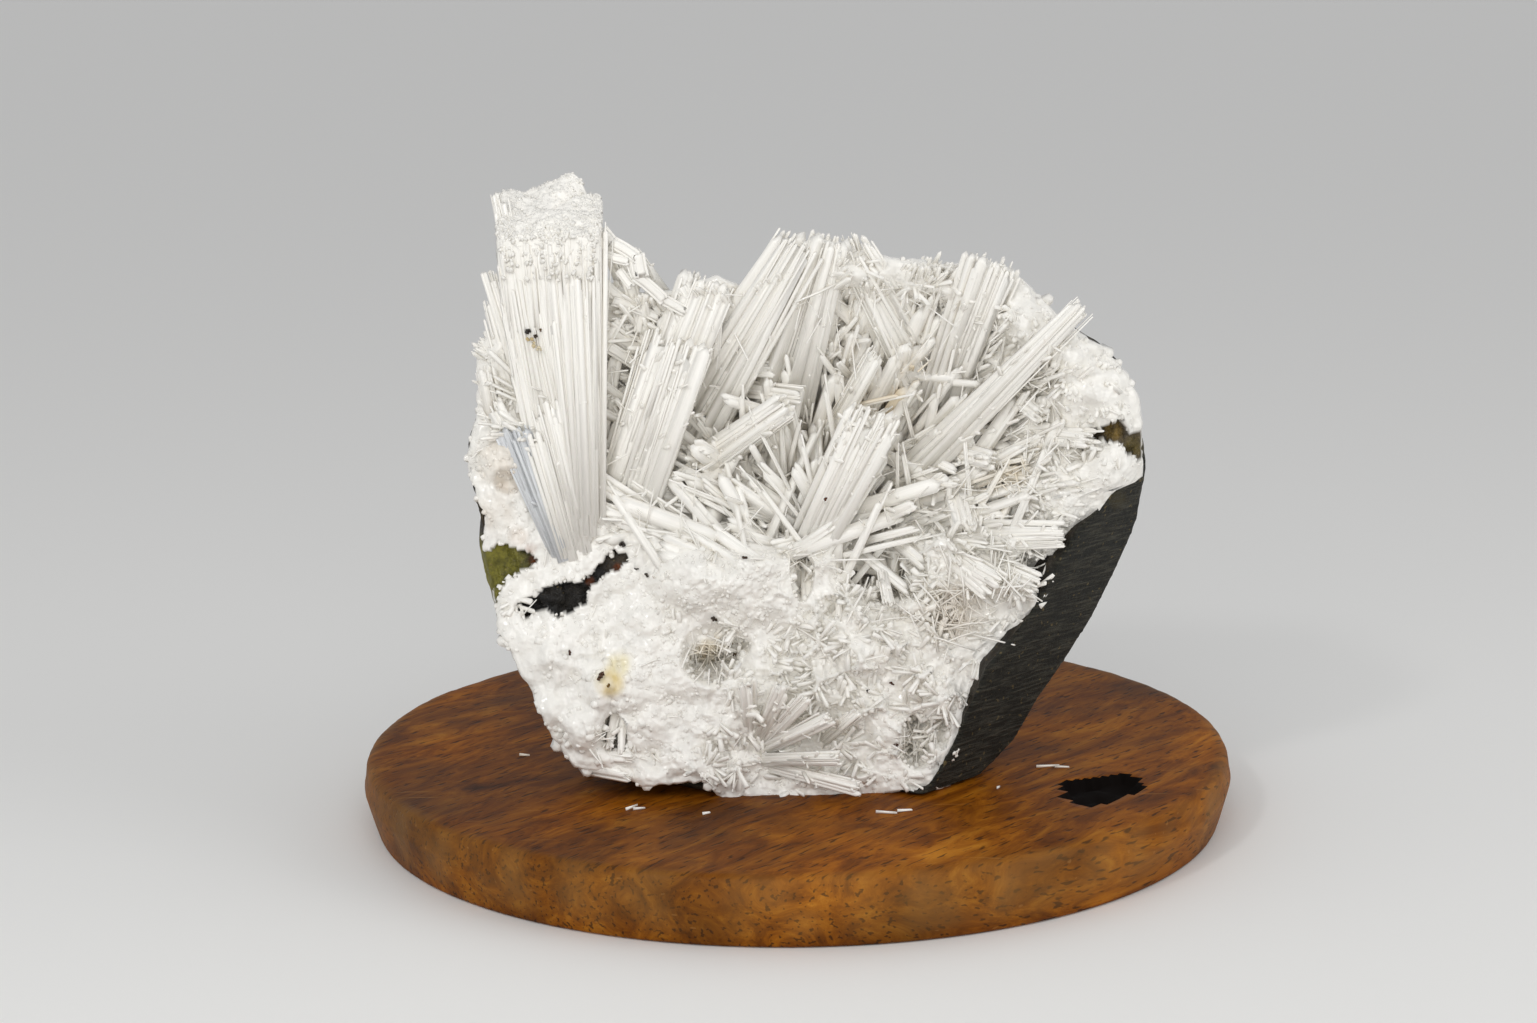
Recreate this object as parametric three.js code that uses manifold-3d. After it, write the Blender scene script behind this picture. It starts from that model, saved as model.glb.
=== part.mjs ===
// Scolecite geode on a turned wooden stand, in millimetres with +Z up.
// The origin is the centre of the stand's underside, and the geode's open face looks along -Y.
// The rock is drawn in its face frame: X across the open face, Y into the rock and Z up the face.
// That frame leans back a little on the stand.
import * as THREE from 'three';
import { mergeVertices } from 'three/addons/utils/BufferGeometryUtils.js';
import Module from 'manifold-3d';

const wasm = await Module();
wasm.setup();

// Driving dimensions
const STAND = {
  height: 24,
  topRadius: 147.6,
  shoulderRadius: 149.2,
  ridgeRadius: 150,
  ridgeHeight: 15.4,
  footRadius: 144,
  sides: 56,
};
const FACE_LEAN = THREE.MathUtils.degToRad(8);
const FACE_FOOT_Y = -72;
const GAP = 0.35;
const SOCKET_GAP = 0.5;
const ROCK_DEPTH = 112;
const HOLLOW_DEPTH = 66;
const RIM_DEPTH = 7;
const SAW_SIDE_RIM_DEPTH = -4;
const ROCK_LIP = 1;
const WIDEST_DEPTH = 26;
const OUTLINE_SIDES = 40;
const FACE_EDGE_DEPTH = 3;

// The rock's bowl and its outside, drawn as rings at shares of the radius and of the depth
const BOWL = { rings: [0.3, 0.55, 0.75, 0.9], fullness: 2.4, roundness: 0.75 };
const BOULDER = { rings: [0.12, 0.24, 0.42, 0.6, 0.77, 0.9, 0.97], swell: 0.025, blunt: 2.3, uneven: 0.05 };
const CRUST_BED = { front: [0.15, 0.32, 0.49, 0.65, 0.79, 0.91, 1], back: [0.9, 0.6], intoRock: 5 };
const HUB = { a: 0, b: 88 };

// The open face is judged from this point: ends of crystals are given where they show from it.
const EYE = { a: -9, b: 168, depth: -1035 };

// Outline of the white crust on the open face, clockwise from the right, as [across, up]
const CRUST_OUTLINE = [
  [113, 103], [113, 120], [111.5, 131], [107, 139], [100, 146], [92, 152], [84, 158], [79, 164],
  [72.5, 170], [62, 173.5], [48, 174], [34, 175.5], [22, 178.5], [10, 179], [0, 176], [-9, 170],
  [-16, 167.5], [-24, 170.5], [-34, 166.5], [-46, 165.5], [-58, 168], [-72, 168], [-86, 165],
  [-96, 158], [-102, 149], [-101.5, 138], [-102.5, 128], [-105.3, 118], [-104.8, 106], [-100.5, 95],
  [-101.5, 87], [-100, 76], [-98, 66], [-95.5, 55], [-89, 43], [-84, 34], [-79, 22], [-73, 12.5],
  [-60, 10], [-51, 5.5], [-38, 6.5], [-30, 6.5], [-25, 0.5], [-12, -0.5], [0, 0], [18, 0.5],
  [34, 2], [50.5, 2.5], [52, 13.5], [57, 27], [59.5, 40], [65, 46], [75.5, 54.5], [82.7, 65],
  [86.5, 75], [93, 86], [98.5, 93], [104, 100],
];

// Outer edge of the sawn side, where the bare basalt is widest, from the foot up
const SAWN_SIDE_EDGE = [
  [44, -3], [52, 1.5], [61, 7.5], [70, 14.7], [79.5, 31], [90, 45], [101, 62], [106.3, 76],
  [110.8, 88], [113.5, 98], [114, 112],
];

// The saw cut: a point on it, the way it faces across the open face, and its slope into the rock
const SAW_CUT = { a: 65, b: 45.5, facing: [0.855, -0.52], slope: 1.33 };

// Broken flats on the rock's back, as [across, up, depth] of a point and of the way each faces
const BREAKS = [
  { at: [-40, 120, 101], facing: [-0.25, 0.35, 1] },
  { at: [62, 70, 92], facing: [0.65, -0.1, 1] },
  { at: [-78, 60, 72], facing: [-1, -0.25, 0.85] },
  { at: [30, 160, 62], facing: [0.15, 1, 0.75] },
  { at: [10, 30, 98], facing: [0.1, -0.75, 1] },
  { at: [94, 128, 52], facing: [1, 0.45, 0.7] },
];

// Broad dips and swells of the crust's face: centre, radii across and up, and depth at the centre
const DIPS = [
  { a: 4, b: 125, across: 86, up: 47, depth: 38, power: 1 },
  { a: 27, b: 75, across: 17, up: 15, depth: 15, power: 1 },
  { a: 64, b: 95, across: 19, up: 11, depth: 9, power: 1 },
  { a: -26, b: 48, across: 13, up: 11, depth: 7, power: 1 },
  { a: 2, b: 22, across: 22, up: 13, depth: 4, power: 1 },
  { a: -10, b: 74, across: 42, up: 20, depth: -6, power: 2 },
  { a: -72, b: 32, across: 20, up: 18, depth: -3, power: 2 },
];

// Places where dark rock comes up through the crust: centre, radius and depth of the rock there
const ROCK_KNOBS = [
  { a: -74, b: 69, radius: 15, depth: 11 },
  { a: -97, b: 79, radius: 12, depth: 3 },
  { a: 101, b: 110, radius: 13, depth: 8 },
];

// Openings in the crust down to that rock, as outlines on the face
const OPENINGS = [
  [[-92.5, 65.5], [-86, 63], [-75.6, 61.6], [-69, 66], [-68, 71.5], [-62, 76], [-54.5, 77.5],
    [-54.5, 82], [-62, 80.5], [-68.5, 74.8], [-80.4, 72], [-89, 69]],
  [[-106, 87], [-99, 84.5], [-91.5, 86], [-84.5, 80.5], [-89, 77], [-96, 72], [-106, 68]],
  [[87, 107], [92, 116], [99, 121], [107, 120.5], [112, 112], [106, 112.5], [100.5, 117], [94.5, 114],
    [91, 107]],
];

// Deep pockets between the crystals of the lower half: centre, radii across and up, and depth
const POCKETS = [
  { a: 21, b: 77, across: 5, up: 10, depth: 22 },
  { a: 30, b: 72, across: 6, up: 9, depth: 24 },
  { a: 2, b: 76, across: 4, up: 11, depth: 12 },
  { a: -60, b: 23, across: 4, up: 7, depth: 14 },
  { a: 39, b: 18, across: 6, up: 9, depth: 16 },
  { a: -28, b: 45, across: 9, up: 6, depth: 12 },
  { a: 78, b: 75, across: 7, up: 6, depth: 10 },
  { a: -55, b: 133, across: 6, up: 14, depth: 22 },
];

// Rounded lumps of druse: centre, depth, and radius
const LUMPS = [
  [-82, 30, 2, 8], [-70, 24, 1, 9], [-64, 40, 0, 8], [-80, 47, 1, 8], [-46, 9, 1, 7], [-36, 14, 1, 7],
  [-29, 50, -2, 5], [-50, 58, 0, 9], [-34, 74, -4, 11], [-4, 62, -2, 8], [22, 46, 0, 9],
  [40, 52, 0, 9], [30, 22, 1, 8], [46, 34, 1, 6], [6, 90, 0, 9], [-97, 112, 3, 7],
  [-98, 97, 3, 7], [98, 108, 3, 8], [100, 134, 4, 8], [88, 146, 5, 8], [106, 122, 4, 7], [88, 95, 4, 7],
];

// Single crystals, as [foot across, up, depth, tip across, up, depth, foot width, tip width]
const CRYSTALS = [
  [28, 97, 16, 94, 160.5, -12, 10, 5.5],
  [-34, 108, 18, -2, 130, 3, 10, 8],
  [3, 106, 14, 27, 147, 6, 6, 4.5],
  [-12, 131, 30, 14, 162, 12, 7, 5.5],
  [-31, 137, 28, 3, 132, 10, 5, 4],
  [-33, 143, 26, -6, 141, 14, 5, 4],
  [-28, 102, 20, -29, 151, 12, 4, 3],
  [-44, 141, 26, -56, 171, 8, 5, 4],
  [-43, 143, 24, -60, 156, 5, 4, 3.5],
  [-42, 140, 24, -60, 131, 8, 4, 3.5],
  [-36, 158, 18, -52, 181, 5, 4, 3],
  [-50, 160, 14, -61, 186, 3, 4, 3],
  [-40, 158, 16, -48, 176, 6, 4, 3],
  [57, 122, 18, 96, 116.5, -2, 7, 5],
  [56, 86, 10, 91, 86, 0, 9, 7],
  [40, 87, 10, 67, 71, -3, 7, 5],
  [36, 90, 10, 63, 66, -2, 4, 3.5],
  [54, 80, 8, 79, 70, 0, 7, 5],
  [47, 120, 22, 56, 86, 2, 12, 9],
  [60, 142, 20, 80, 124, 3, 6, 5],
  [76, 120, 16, 80, 152, 5, 7, 5],
  [68, 140, 22, 47, 164, 12, 7, 6],
  [34, 148, 28, 44, 177, 11, 6, 2],
  [36, 118, 24, 64, 110, 4, 6, 5],
  [20, 126, 32, 46, 150, 12, 6, 5],
  [26, 87, 14, 30, 64, 0, 3, 2.5],
  [-16, 18, 6, -17, 39, -3, 6, 5],
  [-15, 18, 6, -5, 38, -4, 6, 4.5],
  [-14, 17, 6, 2, 35, -4, 5, 4.5],
  [-14, 16, 6, 10, 28, -4, 5, 3.5],
  [6, 18, 6, 20, 30, -3, 4, 3],
  [-14, 14, 5, 14, 14, -5, 5, 4],
  [-10, 13, 5, 21, 4, -4, 5, 4],
  [-90, 143, 9, -103, 151, 2, 6, 5],
  [-95, 118, 9, -100, 143, -1, 6, 4.5],
  [-2, 150, 14, -3, 179, -1, 11, 1],
];

// Sheaves of parallel crystals that widen to a ragged top
const SHEAVES = [
  { foot: [-57, 96, 12], tip: [-29, 168, 6], footWidth: 10, tipWidth: 17, thickness: 9, blades: 4 },
  { foot: [-24, 130, 22], tip: [2, 183, -1], footWidth: 15, tipWidth: 18, thickness: 9, blades: 4 },
  { foot: [-8, 134, 22], tip: [15, 183, -1], footWidth: 12, tipWidth: 13, thickness: 8, blades: 3 },
  { foot: [40, 134, 22], tip: [20, 181, 1], footWidth: 13, tipWidth: 10, thickness: 7, blades: 2 },
  { foot: [45, 126, 18], tip: [64.5, 176, -2], footWidth: 9, tipWidth: 17, thickness: 8, blades: 4 },
  { foot: [6, 86, 8], tip: [30, 132, 1], footWidth: 13, tipWidth: 15, thickness: 9, blades: 3 },
];
const SHEAF = { ragged: 3.5, rounded: 8, overlap: 1.35, step: { foot: 1, tip: 1.6 } };

// The tall sheaf: its foot on the crust, and its top above the rock's rim
const COLUMN = {
  foot: { a: -71, b: 86, depth: 10, width: 15, thickness: 10 },
  split: { a: -72.5, b: 152, depth: 1, width: 24, thickness: 16 },
  top: { a: -77.5, b: 188.5, depth: -4, width: 33, thickness: 20 },
  crownRise: 11,
  sides: 10,
};
const COLUMN_CRYSTALS = [
  [-70, 92, 4, -90, 153, -9, 7, 8],
  [-71, 96, 3, -84, 153, -12, 5, 7],
  [-70, 98, 3, -76, 160, -13, 5, 7],
  [-68, 92, 3, -68, 166, -13, 6, 8],
  [-65, 92, 4, -62.5, 190, -8, 6, 6],
  [-78, 84, 5, -95, 120, 0, 6, 8],
  [-77, 84, 4, -89, 123, -3, 6, 8],
  [-76, 85, 3, -84, 121, -4, 5, 7],
  [-84, 128, 2, -98, 174, -3, 6, 5],
  [-88, 122, 4, -98.5, 165, 0, 5, 4.5],
  [-84, 140, -2, -94.5, 199, -6, 6, 6],
];
const CROWN = { bits: 12, footWidth: 10, tipWidth: 7.5, rise: [5, 8] };

// Small crystals that are scattered from a seed: how many, and their sizes
const HOLLOW_CRYSTALS = { count: 13, length: [20, 40], width: [2.6, 5], inner: 0.12, outer: 0.92 };
const FACE_CRYSTALS = { count: 6, length: [6, 12], width: [3, 5.5] };
const RIM_CRYSTALS = { count: 16, length: [6, 9], width: [3.5, 6] };

function makeRandom(seed) {
  let state = seed;
  return () => {
    state = (state + 0x6d2b79f5) | 0;
    let mixed = Math.imul(state ^ (state >>> 15), 1 | state);
    mixed = (mixed + Math.imul(mixed ^ (mixed >>> 7), 61 | mixed)) ^ mixed;
    return ((mixed ^ (mixed >>> 14)) >>> 0) / 2 ** 32;
  };
}

function between(random, [low, high]) {
  return low + (high - low) * random();
}

// A point of the face frame
function at(a, b, depth) {
  return new THREE.Vector3(a, depth, b);
}

// The point at a depth that shows over face point (a, b) when looked at from the eye
function seen([a, b, depth]) {
  const spread = -depth / EYE.depth;
  return at(a + (a - EYE.a) * spread, b + (b - EYE.b) * spread, depth);
}

function solidFromGeometry(geometry) {
  const bare = new THREE.BufferGeometry();
  bare.setAttribute('position', geometry.attributes.position);
  bare.setIndex(geometry.index);
  const merged = mergeVertices(bare, 1e-4);
  return new wasm.Manifold(new wasm.Mesh({
    numProp: 3,
    vertProperties: new Float32Array(merged.attributes.position.array),
    triVerts: new Uint32Array(merged.index.array),
  }));
}

function geometryFromSolid(solid) {
  const mesh = solid.getMesh();
  const indexed = new THREE.BufferGeometry();
  indexed.setAttribute('position', new THREE.BufferAttribute(mesh.vertProperties, 3));
  indexed.setIndex(new THREE.BufferAttribute(mesh.triVerts, 1));
  const geometry = indexed.toNonIndexed();
  geometry.computeVertexNormals();
  return geometry;
}

function joined(solids) {
  return solids.reduce((whole, solid) => whole.add(solid));
}

function largestPiece(solid) {
  const pieces = solid.decompose();
  return pieces.reduce((largest, piece) => (piece.volume() > largest.volume() ? piece : largest));
}

// A closed solid through rings of equal counts; the first and last rings hold a single point
function solidFromRings(rings) {
  const count = rings[1].length;
  const points = rings.flat();
  const index = [];
  const corner = (ring, k) => 1 + (ring - 1) * count + (k % count);
  const lastPoint = points.length - 1;
  for (let k = 0; k < count; k += 1) {
    index.push(0, corner(1, k), corner(1, k + 1));
    for (let ring = 1; ring < rings.length - 2; ring += 1) {
      index.push(corner(ring, k), corner(ring + 1, k), corner(ring + 1, k + 1));
      index.push(corner(ring, k), corner(ring + 1, k + 1), corner(ring, k + 1));
    }
    index.push(lastPoint, corner(rings.length - 2, k + 1), corner(rings.length - 2, k));
  }
  const geometry = new THREE.BufferGeometry().setFromPoints(points);
  geometry.setIndex(index);
  const solid = solidFromGeometry(geometry);
  if (solid.volume() > 0) {
    return solid;
  }
  for (let k = 0; k < index.length; k += 3) {
    [index[k], index[k + 1]] = [index[k + 1], index[k]];
  }
  geometry.setIndex(index);
  return solidFromGeometry(geometry);
}

// A block that holds everything beyond a plane
function beyondPlane(point, facing) {
  const size = 500;
  const block = new THREE.BoxGeometry(size, size, size);
  block.translate(0, 0, size / 2);
  const turn = new THREE.Quaternion().setFromUnitVectors(
    new THREE.Vector3(0, 0, 1),
    facing.clone().normalize(),
  );
  block.applyQuaternion(turn);
  block.translate(point.x, point.y, point.z);
  return solidFromGeometry(block);
}

// A four-sided crystal, broad side to the front, that ends in a slanting chisel or a point
function crystal(foot, tip, footWidth, tipWidth, { thickness = 0.75, grow = 0, slant = 0.5 } = {}) {
  const along = tip.clone().sub(foot);
  const length = along.length();
  along.normalize();
  const across = new THREE.Vector3().crossVectors(along, new THREE.Vector3(0, 1, 0)).normalize();
  const through = new THREE.Vector3().crossVectors(across, along).normalize();
  const ring = (distance, width, lift) => [[-1, -1], [1, -1], [1, 1], [-1, 1]].map(([i, j], k) => foot
    .clone()
    .addScaledVector(along, distance + lift[k] * width)
    .addScaledVector(across, (i * (width + 2 * grow)) / 2)
    .addScaledVector(through, (j * (width * thickness + 2 * grow)) / 2));
  const level = [0, 0, 0, 0];
  const chisel = [-slant, 0, -slant * 0.3, -slant * 1.2];
  const shoulder = length - tipWidth * 0.2 + grow;
  return solidFromRings([
    [foot.clone().addScaledVector(along, -grow)],
    ring(-grow, footWidth, level),
    ring(shoulder, tipWidth, chisel),
    [foot.clone().addScaledVector(along, length + grow)],
  ]);
}

function seenCrystal([a0, b0, d0, a1, b1, d1, footWidth, tipWidth], options) {
  return crystal(seen([a0, b0, d0]), seen([a1, b1, d1]), footWidth, tipWidth, options);
}

function sheaf({ foot, tip, footWidth, tipWidth, thickness, blades }, random) {
  const start = seen(foot);
  const end = seen(tip);
  const along = end.clone().sub(start).normalize();
  const across = new THREE.Vector3().crossVectors(along, new THREE.Vector3(0, 1, 0)).normalize();
  const parts = [];
  for (let k = 0; k < blades; k += 1) {
    const place = (k + 0.5) / blades - 0.5;
    const shorter = SHEAF.ragged * random() + SHEAF.rounded * place * place;
    const bladeFoot = start.clone().addScaledVector(across, place * footWidth);
    const bladeTip = end.clone()
      .addScaledVector(across, place * tipWidth)
      .addScaledVector(along, -shorter);
    bladeFoot.y += (k % 2) * SHEAF.step.foot;
    bladeTip.y += (k % 2) * SHEAF.step.tip;
    const tipSize = (SHEAF.overlap * tipWidth) / blades;
    parts.push(crystal(bladeFoot, bladeTip, (SHEAF.overlap * footWidth) / blades, tipSize, {
      thickness: thickness / tipSize,
      slant: 0.35,
    }));
  }
  return parts;
}

// Distance from the hub to an outline along a bearing; 0 where an open outline doesn't reach
function radiusOn(outline, bearing, closed) {
  const way = new THREE.Vector2(Math.cos(bearing), Math.sin(bearing));
  const last = closed ? outline.length : outline.length - 1;
  let reach = 0;
  for (let k = 0; k < last; k += 1) {
    const [a0, b0] = outline[k];
    const [a1, b1] = outline[(k + 1) % outline.length];
    const start = new THREE.Vector2(a0 - HUB.a, b0 - HUB.b);
    const side = new THREE.Vector2(a1 - a0, b1 - b0);
    const scale = way.cross(side);
    if (Math.abs(scale) < 1e-9) {
      continue;
    }
    const distance = start.cross(side) / scale;
    const share = start.cross(way) / scale;
    if (share >= 0 && share <= 1 && distance > 0) {
      reach = Math.max(reach, distance);
    }
  }
  return reach;
}

const crustRadius = (bearing) => radiusOn(CRUST_OUTLINE, bearing, true);
const sawnRadius = (bearing) => radiusOn(SAWN_SIDE_EDGE, bearing, false);

function bearingOf(a, b) {
  return Math.atan2(b - HUB.b, a - HUB.a);
}

// Share of the way from the hub to the crust's edge
function shareOut(a, b) {
  return Math.hypot(a - HUB.a, b - HUB.b) / crustRadius(bearingOf(a, b));
}

// The rim is set back under the crust, and comes forward where the sawn side leaves it bare
function rimDepth(bearing) {
  const bare = THREE.MathUtils.clamp((sawnRadius(bearing) - crustRadius(bearing)) / 9, 0, 1);
  return THREE.MathUtils.lerp(RIM_DEPTH, SAW_SIDE_RIM_DEPTH, bare);
}

function sawDepth(a, b) {
  const outward = (a - SAW_CUT.a) * SAW_CUT.facing[0] + (b - SAW_CUT.b) * SAW_CUT.facing[1];
  return outward * SAW_CUT.slope;
}

// Depth of the rock's hollow behind the crust
function hollowFloor(a, b) {
  const share = Math.min(shareOut(a, b), 1);
  const rim = rimDepth(bearingOf(a, b));
  const bowl = rim + (HOLLOW_DEPTH - rim) * (1 - share ** BOWL.fullness) ** BOWL.roundness;
  return ROCK_KNOBS.reduce((depth, knob) => {
    const nearness = Math.exp(-(((a - knob.a) ** 2 + (b - knob.b) ** 2) / knob.radius ** 2));
    return depth - Math.max(depth - knob.depth, 0) * Math.min(nearness * 1.5, 1);
  }, bowl);
}

// Depth of the crust's own face
function crustFace(a, b) {
  const share = Math.min(shareOut(a, b), 1);
  const edge = FACE_EDGE_DEPTH * (1 + share ** 10);
  return DIPS.reduce((depth, dip) => {
    const off = ((a - dip.a) / dip.across) ** 2 + ((b - dip.b) / dip.up) ** 2;
    return depth + dip.depth * Math.max(1 - off, 0) ** dip.power;
  }, edge);
}

function bearings() {
  return Array.from({ length: OUTLINE_SIDES }, (_, k) => (2 * Math.PI * k) / OUTLINE_SIDES);
}

function ringAt(radiusOf, depthOf) {
  return bearings().map((bearing) => {
    const radius = radiusOf(bearing);
    const a = HUB.a + radius * Math.cos(bearing);
    const b = HUB.b + radius * Math.sin(bearing);
    return at(a, b, depthOf(a, b, bearing));
  });
}

const sawBlock = (grow) => {
  const [fa, fb] = SAW_CUT.facing;
  const facing = at(fa * SAW_CUT.slope, fb * SAW_CUT.slope, -1);
  const point = at(SAW_CUT.a, SAW_CUT.b, 0).addScaledVector(facing.clone().normalize(), grow);
  return beyondPlane(point, facing);
};

// Everything under the stand's top, in the face frame
function standBlock() {
  const down = at(0, -Math.cos(FACE_LEAN), Math.sin(FACE_LEAN));
  return beyondPlane(down.clone().multiplyScalar(-GAP), down);
}

// The natural outside of the rock: a blunt boulder back behind the rim
function rockRadius(bearing) {
  return Math.max(crustRadius(bearing) + ROCK_LIP, sawnRadius(bearing));
}

function basaltBody(grow, random) {
  const roughness = bearings().map(() => random());
  const floor = (a, b) => hollowFloor(a, b) - 3 * grow;
  const rings = [[at(HUB.a, HUB.b, floor(HUB.a, HUB.b))]];
  for (const share of BOWL.rings) {
    rings.push(ringAt((t) => crustRadius(t) * share, floor));
  }
  const rim = (a, b, bearing) => rimDepth(bearing) - 2 * grow;
  rings.push(ringAt((t) => crustRadius(t) - 0.4 - grow, rim));
  rings.push(ringAt((t) => rockRadius(t) + grow, rim));
  for (const share of BOULDER.rings) {
    const depth = ROCK_DEPTH * share;
    const swell = 1 + BOULDER.swell * Math.min(depth / WIDEST_DEPTH, 1);
    const fall = Math.max(depth - WIDEST_DEPTH, 0) / (ROCK_DEPTH - WIDEST_DEPTH);
    const scale = swell * (1 - fall ** BOULDER.blunt) ** 0.5;
    rings.push(ringAt(
      (t) => {
        const k = Math.round((t / (2 * Math.PI)) * OUTLINE_SIDES);
        return rockRadius(t) * scale * (1 - BOULDER.uneven * fall * roughness[k]) + grow;
      },
      () => depth + grow,
    ));
  }
  rings.push([at(HUB.a, HUB.b, ROCK_DEPTH + grow)]);
  return solidFromRings(rings);
}

function buildBasalt() {
  const random = makeRandom(11);
  let rock = basaltBody(0, random).subtract(sawBlock(0)).subtract(standBlock());
  for (const { at: [a, b, depth], facing } of BREAKS) {
    rock = rock.subtract(beyondPlane(at(a, b, depth), at(...facing)));
  }
  return rock;
}

// A wedge straight into the crust under an outline on the face
function openingCutter(outline) {
  const shape = new THREE.Shape(outline.map(([a, b]) => new THREE.Vector2(a, b)));
  const wedge = new THREE.ExtrudeGeometry(shape, { depth: 120, bevelEnabled: false });
  wedge.applyMatrix4(new THREE.Matrix4().set(1, 0, 0, 0, 0, 0, 1, -40, 0, 1, 0, 0, 0, 0, 0, 1));
  const index = [...wedge.attributes.position.array.keys()].slice(0, wedge.attributes.position.count);
  for (let k = 0; k < index.length; k += 3) {
    [index[k], index[k + 1]] = [index[k + 1], index[k]];
  }
  wedge.setIndex(index);
  return solidFromGeometry(wedge);
}

function blob(a, b, depth, radii, detail) {
  const geometry = new THREE.IcosahedronGeometry(1, detail);
  geometry.scale(radii.across, radii.depth, radii.up);
  geometry.rotateY(a + b);
  const place = at(a, b, depth);
  geometry.translate(place.x, place.y, place.z);
  return solidFromGeometry(geometry);
}

function crustBed() {
  const { front, back, intoRock } = CRUST_BED;
  const rings = [[at(HUB.a, HUB.b, crustFace(HUB.a, HUB.b))]];
  for (const share of front) {
    rings.push(ringAt((t) => crustRadius(t) * share, crustFace));
  }
  rings.push(ringAt(crustRadius, (a, b, bearing) => Math.max(rimDepth(bearing), RIM_DEPTH) + intoRock));
  for (const share of back) {
    rings.push(ringAt((t) => crustRadius(t) * share, (a, b) => hollowFloor(a, b) + 2 * intoRock));
  }
  rings.push([at(HUB.a, HUB.b, hollowFloor(HUB.a, HUB.b) + intoRock)]);
  return solidFromRings(rings);
}

// Crystals that stand in the open hollow, from its wall toward the opening
function hollowCrystals(random) {
  const main = DIPS[0];
  const parts = [];
  for (let k = 0; k < HOLLOW_CRYSTALS.count; k += 1) {
    const bearing = 2 * Math.PI * random();
    const share = between(random, [HOLLOW_CRYSTALS.inner, HOLLOW_CRYSTALS.outer]);
    const a = main.a + main.across * share * Math.cos(bearing);
    const b = main.b + main.up * share * Math.sin(bearing);
    const length = between(random, HOLLOW_CRYSTALS.length);
    const lean = new THREE.Vector3(random() - 0.5, 0, random() - 0.5).multiplyScalar(1.9);
    const inward = new THREE.Vector3(-Math.cos(bearing), 0, -Math.sin(bearing)).multiplyScalar(share * 0.5);
    const way = new THREE.Vector3(0, -0.8, 0).add(lean).add(inward).normalize();
    const foot = at(a, b, crustFace(a, b) + 4);
    const tip = foot.clone().addScaledVector(way, length + 4);
    tip.y = Math.max(tip.y, 2);
    const width = between(random, HOLLOW_CRYSTALS.width);
    parts.push(crystal(foot, tip, width, width * 0.8, { slant: 0.6 }));
  }
  return parts;
}

// Short crystals that roughen the lower face
function faceCrystals(random) {
  const parts = [];
  while (parts.length < FACE_CRYSTALS.count) {
    const bearing = 2 * Math.PI * random();
    const share = Math.sqrt(random()) * 0.95;
    const a = HUB.a + crustRadius(bearing) * share * Math.cos(bearing);
    const b = HUB.b + crustRadius(bearing) * share * Math.sin(bearing);
    if (crustFace(a, b) > 12 || sawDepth(a, b) > -4) {
      continue;
    }
    const way = new THREE.Vector3(1.6 * (random() - 0.5), -1, 1.6 * (random() - 0.5)).normalize();
    const foot = at(a, b, crustFace(a, b) + 2);
    const width = between(random, FACE_CRYSTALS.width);
    const tip = foot.clone().addScaledVector(way, between(random, FACE_CRYSTALS.length) - 2);
    parts.push(crystal(foot, tip, width * 1.2, width * 0.7, { slant: 0.5 }));
  }
  return parts;
}

// Stubby crystals along the crust's edge, which make the outline jagged
function rimCrystals(random) {
  const parts = [];
  for (let k = 0; k < RIM_CRYSTALS.count; k += 1) {
    const bearing = (2 * Math.PI * (k + random() * 0.6)) / RIM_CRYSTALS.count;
    const radius = crustRadius(bearing);
    const a = HUB.a + (radius - 4) * Math.cos(bearing);
    const b = HUB.b + (radius - 4) * Math.sin(bearing);
    if (sawDepth(a, b) > -12) {
      continue;
    }
    const out = new THREE.Vector3(Math.cos(bearing), -0.9 - random(), Math.sin(bearing)).normalize();
    const foot = at(a, b, 7);
    const width = between(random, RIM_CRYSTALS.width);
    const length = between(random, RIM_CRYSTALS.length);
    const tip = foot.clone().addScaledVector(out, length);
    parts.push(crystal(foot, tip, width * 1.2, width * 0.7, { slant: 0.5 }));
  }
  return parts;
}

function columnCore(grow) {
  const { foot, split, top, crownRise, sides } = COLUMN;
  const placed = (level) => ({ ...level, place: seen([level.a, level.b, level.depth]) });
  const levels = [foot, split, top].map(placed);
  const ring = ({ place, width, thickness }, rise) => Array.from({ length: sides }, (_, k) => {
    const turn = (2 * Math.PI * k) / sides;
    const out = Math.sin(turn);
    return new THREE.Vector3(
      place.x + (width / 2 + grow) * Math.cos(turn),
      place.y + (thickness / 2 + grow) * out,
      place.z + rise * out,
    );
  });
  const crown = levels[2].place.clone().add(new THREE.Vector3(0, 0, 3 + grow));
  return solidFromRings([
    [levels[0].place.clone().add(new THREE.Vector3(0, 0, -grow))],
    ring(levels[0], 0),
    ring(levels[1], 0),
    ring(levels[2], crownRise),
    [crown],
  ]);
}

function columnParts(grow, random) {
  const parts = [columnCore(grow)];
  for (const row of COLUMN_CRYSTALS) {
    parts.push(seenCrystal(row, { thickness: 0.7, grow, slant: 0.4 }));
  }
  const { top, crownRise } = COLUMN;
  for (let k = 0; k < CROWN.bits; k += 1) {
    const turn = (2 * Math.PI * (k + 0.5 * random())) / CROWN.bits;
    const out = 0.5 + 0.5 * random();
    const place = seen([top.a, top.b, top.depth]);
    const foot = new THREE.Vector3(
      place.x + (top.width / 2 - CROWN.footWidth / 2) * out * Math.cos(turn),
      place.y + (top.thickness / 2 - 2) * out * Math.sin(turn),
      place.z + crownRise * out * Math.sin(turn) - 4,
    );
    const lean = new THREE.Vector3(3 * (random() - 0.5), -2 * random(), between(random, CROWN.rise));
    const tip = foot.clone().add(lean);
    parts.push(crystal(foot, tip, CROWN.footWidth, CROWN.tipWidth, { thickness: 0.8, grow, slant: 0.4 }));
  }
  return parts;
}

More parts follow.
